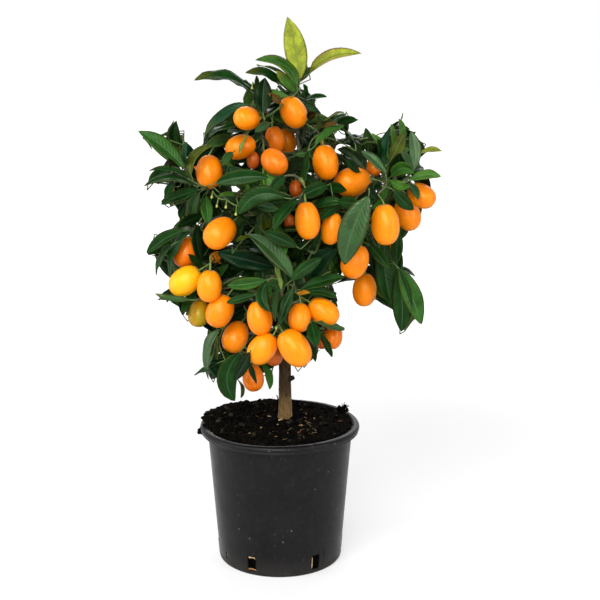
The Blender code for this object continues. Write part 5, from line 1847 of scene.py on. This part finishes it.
# ---------------------------------------------------------------- branching
def grow(limb_lines, leaves, sprays, fruits, buds, outline):
    """Twigs grown on from the limbs: each step joins the free point that is nearest to the tree, counting the way it
    would have to go back to the trunk, so twigs fork like real ones. Returns the twig chains and each point's place."""
    pos, parent, path, fixed = [], [], [], []

    def add(p, par, is_limb):
        pos.append(np.asarray(p, float))
        parent.append(par)
        path.append(0.0 if par < 0 else path[par] + np.linalg.norm(pos[-1] - pos[par]))
        fixed.append(is_limb)
        return len(pos) - 1

    def limb(points):
        par = -1
        for p in points:
            par = add(p, par, True)
    limb([along(TRUNK_AXIS, z) for z in np.arange(0.248, 0.311, 0.006)])
    limb([along(LEADER_AXIS, z) for z in np.arange(0.314, 0.5359, 0.006)])
    for name, (line, _, _) in limb_lines.items():
        limb(line[2::2])
    n_limb = len(pos)
    path[:] = [p * 0.35 for p in path]

    jobs = []                                  # (list of points, what)
    for leaf in leaves:
        d = unit(leaf.m - leaf.b)
        inward = unit(np.array([0.004, 0.0, leaf.b[2] - 0.015]) - leaf.b)
        jobs.append(([leaf.b + unit(inward * 0.55 - d * 0.85) * 0.0085], ("leaf", leaf)))
    for mass, shoot, blades in sprays:
        jobs.append(([p for p in shoot], ("spray", blades)))
    for f in fruits:
        inward = unit(np.array([0.004, 0.0, f.top[2] + 0.02]) - f.top)
        jobs.append(([f.top + unit(f.axis * 0.8 + inward * 0.6) * 0.013], ("fruit", f)))
    for p, up in buds:
        jobs.append(([p + up * 0.006], ("bud", (p, up))))
    starts = np.array([j[0][0] for j in jobs])
    centres = np.array([f.c for f in fruits])
    radii = np.array([f.r for f in fruits])
    ahead = [(f.c + unit(np.array(CAM_POS) - f.c) * f.r * k, f.r * 0.8) for f in fruits if f.hero for k in (1.1, 2.2, 3.3)]
    centres = np.vstack([centres, [c for c, _ in ahead]])
    radii = np.concatenate([radii, [r for _, r in ahead]])

    def costs(index, open_jobs):
        p = pos[index]
        d = starts[open_jobs] - p
        length = np.linalg.norm(d, axis=1)
        cost = length + 0.22 * path[index]
        # a straight way through a fruit is no way
        t = np.clip(((centres[None] - p) * d[:, None]).sum(2) / np.maximum((d * d).sum(1), 1e-12)[:, None], 0, 1)
        near = p + t[..., None] * d[:, None]
        hit = (np.linalg.norm(near - centres[None], axis=2) < radii[None] * 0.92).any(1)
        way = np.concatenate([seen(p + d * k) for k in (0.25, 0.5, 0.75)])
        past = (read_field(outline, way) > -0.5)
        for x, y, size in SKY:
            past |= np.hypot(way[:, 0] - x, way[:, 1] - y) < size
        past = past.reshape(3, -1).any(0)
        return cost + hit * 0.06 + past * 0.10

    best = np.full(len(jobs), 1e9)
    owner = np.full(len(jobs), -1)
    for i in range(n_limb):
        c = costs(i, np.arange(len(jobs)))
        better = c < best
        best[better], owner[better] = c[better], i
    open_jobs = set(range(len(jobs)))
    anchors = {}
    while open_jobs:
        idx = np.array(sorted(open_jobs))
        j = idx[np.argmin(best[idx])]
        open_jobs.discard(j)
        par = int(owner[j])
        # long ways get points between, a little bowed upwards
        pts, what = jobs[j]
        gap = np.linalg.norm(pts[0] - pos[par])
        new = []
        steps = int(gap / 0.012)
        bow = 0.06 * gap
        for k in range(1, steps + 1):
            t = k / (steps + 1)
            p = pos[par] * (1 - t) + pts[0] * t + np.array([0, 0, bow * sin(pi * t)])
            new.append(p)
        cur = par
        own = []
        for p in new + list(pts):
            cur = add(p, cur, False)
            own.append(cur)
        anchors[j] = own[len(new):]
        if open_jobs:
            idx = np.array(sorted(open_jobs))
            for i in own:
                c = costs(i, idx)
                better = c < best[idx]
                best[idx[better]] = c[better]
                owner[idx[better]] = i
    n = len(pos)
    weight = np.zeros(n)
    load = np.zeros(n)
    for j, (pts, (kind, thing)) in enumerate(jobs):
        load[anchors[j][-1]] += {"leaf": 1.0, "spray": 0.0, "fruit": 4.0, "bud": 0.4}[kind]
        if kind == "spray":
            for i, _ in thing:
                load[anchors[j][i]] += 1.0
    for i in range(n - 1, -1, -1):
        weight[i] += load[i]
        if parent[i] >= 0:
            weight[parent[i]] += weight[i]
    children = [[] for _ in range(n)]
    for i in range(n_limb, n):
        children[parent[i]].append(i)
    P = np.array(pos)
    for _ in range(3):
        Q = P.copy()
        for i in range(n_limb, n):
            if children[i]:
                main = max(children[i], key=lambda c: weight[c])
                Q[i] = 0.62 * P[i] + 0.19 * P[parent[i]] + 0.19 * P[main]
        P = Q
    # a twig that would pass in front of a fruit that shows goes behind it
    shown = [f for f in fruits if f.hero]
    fs = seen(np.array([f.c for f in shown]))
    size = np.array([f.r for f in shown]) * CAM_F / fs[:, 2]
    for i in range(n_limb, n):
        px, py, dep = seen(P[i])[0]
        for k in np.nonzero((np.hypot(fs[:, 0] - px, fs[:, 1] - py) < size * 1.02) & (dep < fs[:, 2] + 0.012))[0]:
            target = fs[k, 2] + shown[k].r + 0.004
            eye = np.array(CAM_POS)
            P[i] = eye + (P[i] - eye) * target / dep
            dep = target
    chains = []
    for i in range(n_limb, n):
        par = parent[i]
        starts_here = fixed[par] or max(children[par], key=lambda c: weight[c]) != i
        if not starts_here:
            continue
        chain = [par, i]
        while children[chain[-1]]:
            chain.append(max(children[chain[-1]], key=lambda c: weight[c]))
        chains.append(chain)
    return P, weight, chains, anchors, jobs


def twig_radius(weight):
    return 0.00062 * max(weight, 1.0) ** 0.40


def hermite(p0, d0, p1, d1, n):
    t = np.linspace(0, 1, n)[:, None]
    return ((2 * t ** 3 - 3 * t ** 2 + 1) * p0 + (t ** 3 - 2 * t ** 2 + t) * d0 + (-2 * t ** 3 + 3 * t ** 2) * p1
            + (t ** 3 - t ** 2) * d1)


BUDS = [(212, 196), (217, 205), (226, 206), (236, 213), (252, 87), (261, 108), (260, 117), (382, 194), (276.5, 327)]


def build_crown(limb_lines):
    fruits = hero_fruit()
    leaves = hero_leaves(fruits, limb_lines)
    field = coverage(leaves, fruits)
    fruits += back_fruit(fruits, field)
    outline = outline_field(field)
    allowed = hidden_rules(fruits, leaves, outline)
    sprays = fill_sprays(allowed, leaves)
    others = [b for _, _, blades in sprays for _, b in blades]
    fruits = drop_seen(fruits, leaves + others)
    traced = leaves
    leaves = traced + patch_gaps(hidden_rules(fruits, traced, outline), leaves + others, fruits, outline)
    fruits, leaves, sprays = fill_back(fruits, leaves, sprays)
    others = [b for _, _, blades in sprays for _, b in blades]
    rules = hidden_rules(fruits, traced, outline)
    for azimuth, height, most in ((180, 12, 190), (140, 12, 80), (220, 12, 80), (90, 12, 60), (270, 12, 60), (0, 80, 50)):
        leaves += patch_round(azimuth, height, rules, leaves + others, fruits, most)
    leaves += patch_gaps(rules, leaves + others, fruits, outline)
    buds = []
    for px, py in BUDS:
        y, mass = front_of(px, py)
        p = at(px, py, y + 0.016)
        buds.append((p, unit(np.array([0.1, 0.5, 0.8]))))
    P, weight, chains, anchors, jobs = grow(limb_lines, leaves, sprays, fruits, buds, outline)

    twigs = Soup()
    for chain in chains:
        pts = spline(P[chain], 3) if len(chain) > 2 else spline([P[chain[0]], (P[chain[0]] + P[chain[1]]) / 2, P[chain[1]]], 2)
        w = np.array([weight[chain[1]]] + [weight[i] for i in chain[1:]])
        rad = np.interp(np.linspace(0, 1, len(pts)), np.linspace(0, 1, len(w)), [twig_radius(x) for x in w])
        # leaf scars swell the twig a little at each step
        rad = rad * (1 + 0.10 * np.sin(np.arange(len(pts)) * 2.1) ** 6)
        thick = rad[len(rad) // 3]
        tube(twigs, pts, rad, 7 if thick > 0.0011 else 6, 0 if thick > 0.00135 else 1)
    twigs.piece("twigs", [M_TWIG_OLD, M_TWIG], "bark")

    stalks, fruit_soups, calyxes = Soup(), Soup(), Soup()
    for j, (pts, (kind, thing)) in enumerate(jobs):
        if kind == "leaf":
            pairs = [(anchors[j][0], thing)]
        elif kind == "spray":
            pairs = [(anchors[j][i], b) for i, b in thing]
        else:
            pairs = []
        for node, leaf in pairs:
            start, d = P[node], unit(leaf.line(12)[1] - leaf.b)
            gap = np.linalg.norm(leaf.b - start)
            line = hermite(start, unit(leaf.b - start) * gap * 0.8, leaf.b + d * 0.0012, d * gap * 0.8, 6)
            young = leaf.tone in ("young", "pale")
            tube(stalks, line, np.linspace(0.00070, 0.00052, 6), 5, 1 if young else 0)
        if kind == "fruit":
            f = thing
            start = P[anchors[j][0]]
            top = f.c + f.axis * f.hl * 0.93
            gap = np.linalg.norm(top - start)
            line = hermite(start, unit(top - start) * gap * 0.5, top, -f.axis * gap * 0.9, 8)
            tube(stalks, line, np.interp(np.arange(8), [0, 5, 7], [0.00075, 0.00085, 0.00145]), 7, 1)
            calyx(calyxes, f, j * 0.7)
            fruit_shape(fruit_soups, f, PEEL_NAMES.index(f.peel), j * 1.3)
        if kind == "bud":
            p, up = thing
            line = hermite(P[anchors[j][0]], up * -0.003, p, up * -0.003, 5)
            tube(stalks, line, np.linspace(0.0006, 0.0009, 5), 5, 1)
            fruit_shape(calyxes, Kumquat(p - up * 0.0012, up, 0.0019, 0.0013, ""), 1, j, 10, 8)
    stalks.piece("leaf_and_fruit_stalks", [M_TWIG, M_STALK], "foliage")
    calyxes.piece("calyxes_and_buds", [M_STALK, M_BUD], "foliage")
    fruit_soups.piece("kumquats", [M_PEEL[k] for k in PEEL_NAMES], "foliage", uvs=True)

    by_mass = {m: [] for m in MASSES}
    for leaf in leaves:
        by_mass[leaf.mass].append(leaf)
    for mass, _, blades in sprays:
        by_mass[mass] += [b for _, b in blades]
    total = 0
    for mass, blades in by_mass.items():
        used = [t for t in TONE_NAMES if any(b.tone == t for b in blades)]
        mats = [M_LEAF[t] for t in used] + [M_RIB[t] for t in used] + [M_UNDER[t] for t in used]
        soup = Soup()
        n = len(used)
        for leaf in blades:
            blade_shape(soup, leaf, lambda tone: (used.index(tone), n + used.index(tone), 2 * n + used.index(tone)))
        soup.piece("leaves_" + mass, mats, "foliage", ["foliage_" + mass], uvs=True, aged=True)
        total += len(blades)
    print("leaves", total, "of them placed one by one", len(traced), "fruit", len(fruits), "chains", len(chains))


# ---------------------------------------------------------------- room, lights and camera
def build_stage():
    mesh = bpy.data.meshes.new("floor")
    bm = bmesh.new()
    bmesh.ops.create_circle(bm, cap_ends=True, radius=14.0, segments=96)
    bm.to_mesh(mesh)
    bm.free()
    floor = bpy.data.objects.new("floor", mesh)
    bpy.context.scene.collection.objects.link(floor)
    floor.location = (0, 0, 0)
    s = Shade("floor", 0.85, 0.15)
    s.colour(s.mix(s.noise(s.obj(), 3.0, 2.0, 0.5), (0.500, 0.500, 0.502), (0.508, 0.508, 0.510)))
    s.bsdf.inputs["Emission Color"].default_value = (1.0, 1.0, 1.0, 1.0)
    sep_f = s.node("ShaderNodeSeparateXYZ")
    s.link(s.obj(), sep_f.inputs["Vector"])
    far = s.math("SQRT", s.math("ADD", s.math("MULTIPLY", sep_f.outputs["X"], sep_f.outputs["X"]),
                                s.math("MULTIPLY", sep_f.outputs["Y"], sep_f.outputs["Y"])))
    ray = s.node("ShaderNodeLightPath").outputs["Is Camera Ray"]
    glow = s.math("MULTIPLY", s.step(far, 0.30, 2.6, FLOOR_NEAR, 0.975), s.math("ADD", s.math("MULTIPLY", ray, 0.75), 0.25))
    s.link(glow, s.bsdf.inputs["Emission Strength"])
    mesh.materials.append(s.mat)

    world = bpy.data.worlds.new("studio")
    bpy.context.scene.world = world
    world.use_nodes = True
    t = world.node_tree
    bg = t.nodes["Background"]
    coord = t.nodes.new("ShaderNodeTexCoord")
    sep = t.nodes.new("ShaderNodeSeparateXYZ")
    t.links.new(coord.outputs["Generated"], sep.inputs["Vector"])
    ramp = t.nodes.new("ShaderNodeMapRange")
    ramp.interpolation_type = "SMOOTHSTEP"
    ramp.inputs["From Min"].default_value = -0.35
    ramp.inputs["From Max"].default_value = 0.45
    ramp.inputs["To Min"].default_value = WORLD_FRONT
    ramp.inputs["To Max"].default_value = WORLD_BACK
    t.links.new(sep.outputs["Y"], ramp.inputs["Value"])
    path = t.nodes.new("ShaderNodeLightPath")
    mix = t.nodes.new("ShaderNodeMix")
    mix.data_type = "FLOAT"
    mix.inputs["B"].default_value = 1.0
    t.links.new(path.outputs["Is Camera Ray"], mix.inputs["Factor"])
    t.links.new(ramp.outputs["Result"], mix.inputs["A"])
    t.links.new(mix.outputs["Result"], bg.inputs["Strength"])
    bg.inputs["Color"].default_value = (1, 1, 1, 1)


WORLD_FRONT, WORLD_BACK, FLOOR_NEAR = 0.05, 0.62, 0.44


def area_light(name, where, target, size, power, colour=(1, 1, 1)):
    data = bpy.data.lights.new(name, "AREA")
    data.shape = "RECTANGLE"
    data.size, data.size_y = size
    data.energy = power
    data.color = colour
    obj = bpy.data.objects.new(name, data)
    bpy.context.scene.collection.objects.link(obj)
    obj.location = where
    obj.rotation_euler = (Vector(target) - Vector(where)).to_track_quat("-Z", "Y").to_euler()
    return obj


def build_lights_and_camera():
    area_light("key", (-0.75, -1.75, 1.75), (0, 0, 0.38), (1.5, 1.1), 50)
    area_light("front", (0.10, -2.30, 0.95), (0, 0, 0.36), (0.85, 0.60), 24)
    area_light("fill_right", (1.75, -1.15, 0.95), (0, 0, 0.36), (0.9, 1.5), 19)
    area_light("fill_left", (-1.85, -0.35, 0.75), (0, 0, 0.34), (0.9, 1.5), 16)
    area_light("back", (0.3, 1.9, 1.7), (0, 0, 0.36), (1.8, 1.2), 22)
    cam = bpy.data.cameras.new("camera")
    cam.lens = 68.28
    cam.sensor_width = 36.0
    cam.sensor_fit = "HORIZONTAL"
    cam.clip_start, cam.clip_end = 0.05, 60.0
    obj = bpy.data.objects.new("camera", cam)
    bpy.context.scene.collection.objects.link(obj)
    obj.location = CAM_POS
    obj.rotation_euler = (radians(90) - CAM_PITCH, 0, 0)
    bpy.context.scene.camera = obj
    view = bpy.context.scene.view_settings
    view.view_transform = "Standard"
    view.look = "None"
    view.exposure = 0.0
    view.gamma = 1.0


build_pot()
build_soil()
limb_lines = build_limbs()
build_crown(limb_lines)
build_stage()
build_lights_and_camera()
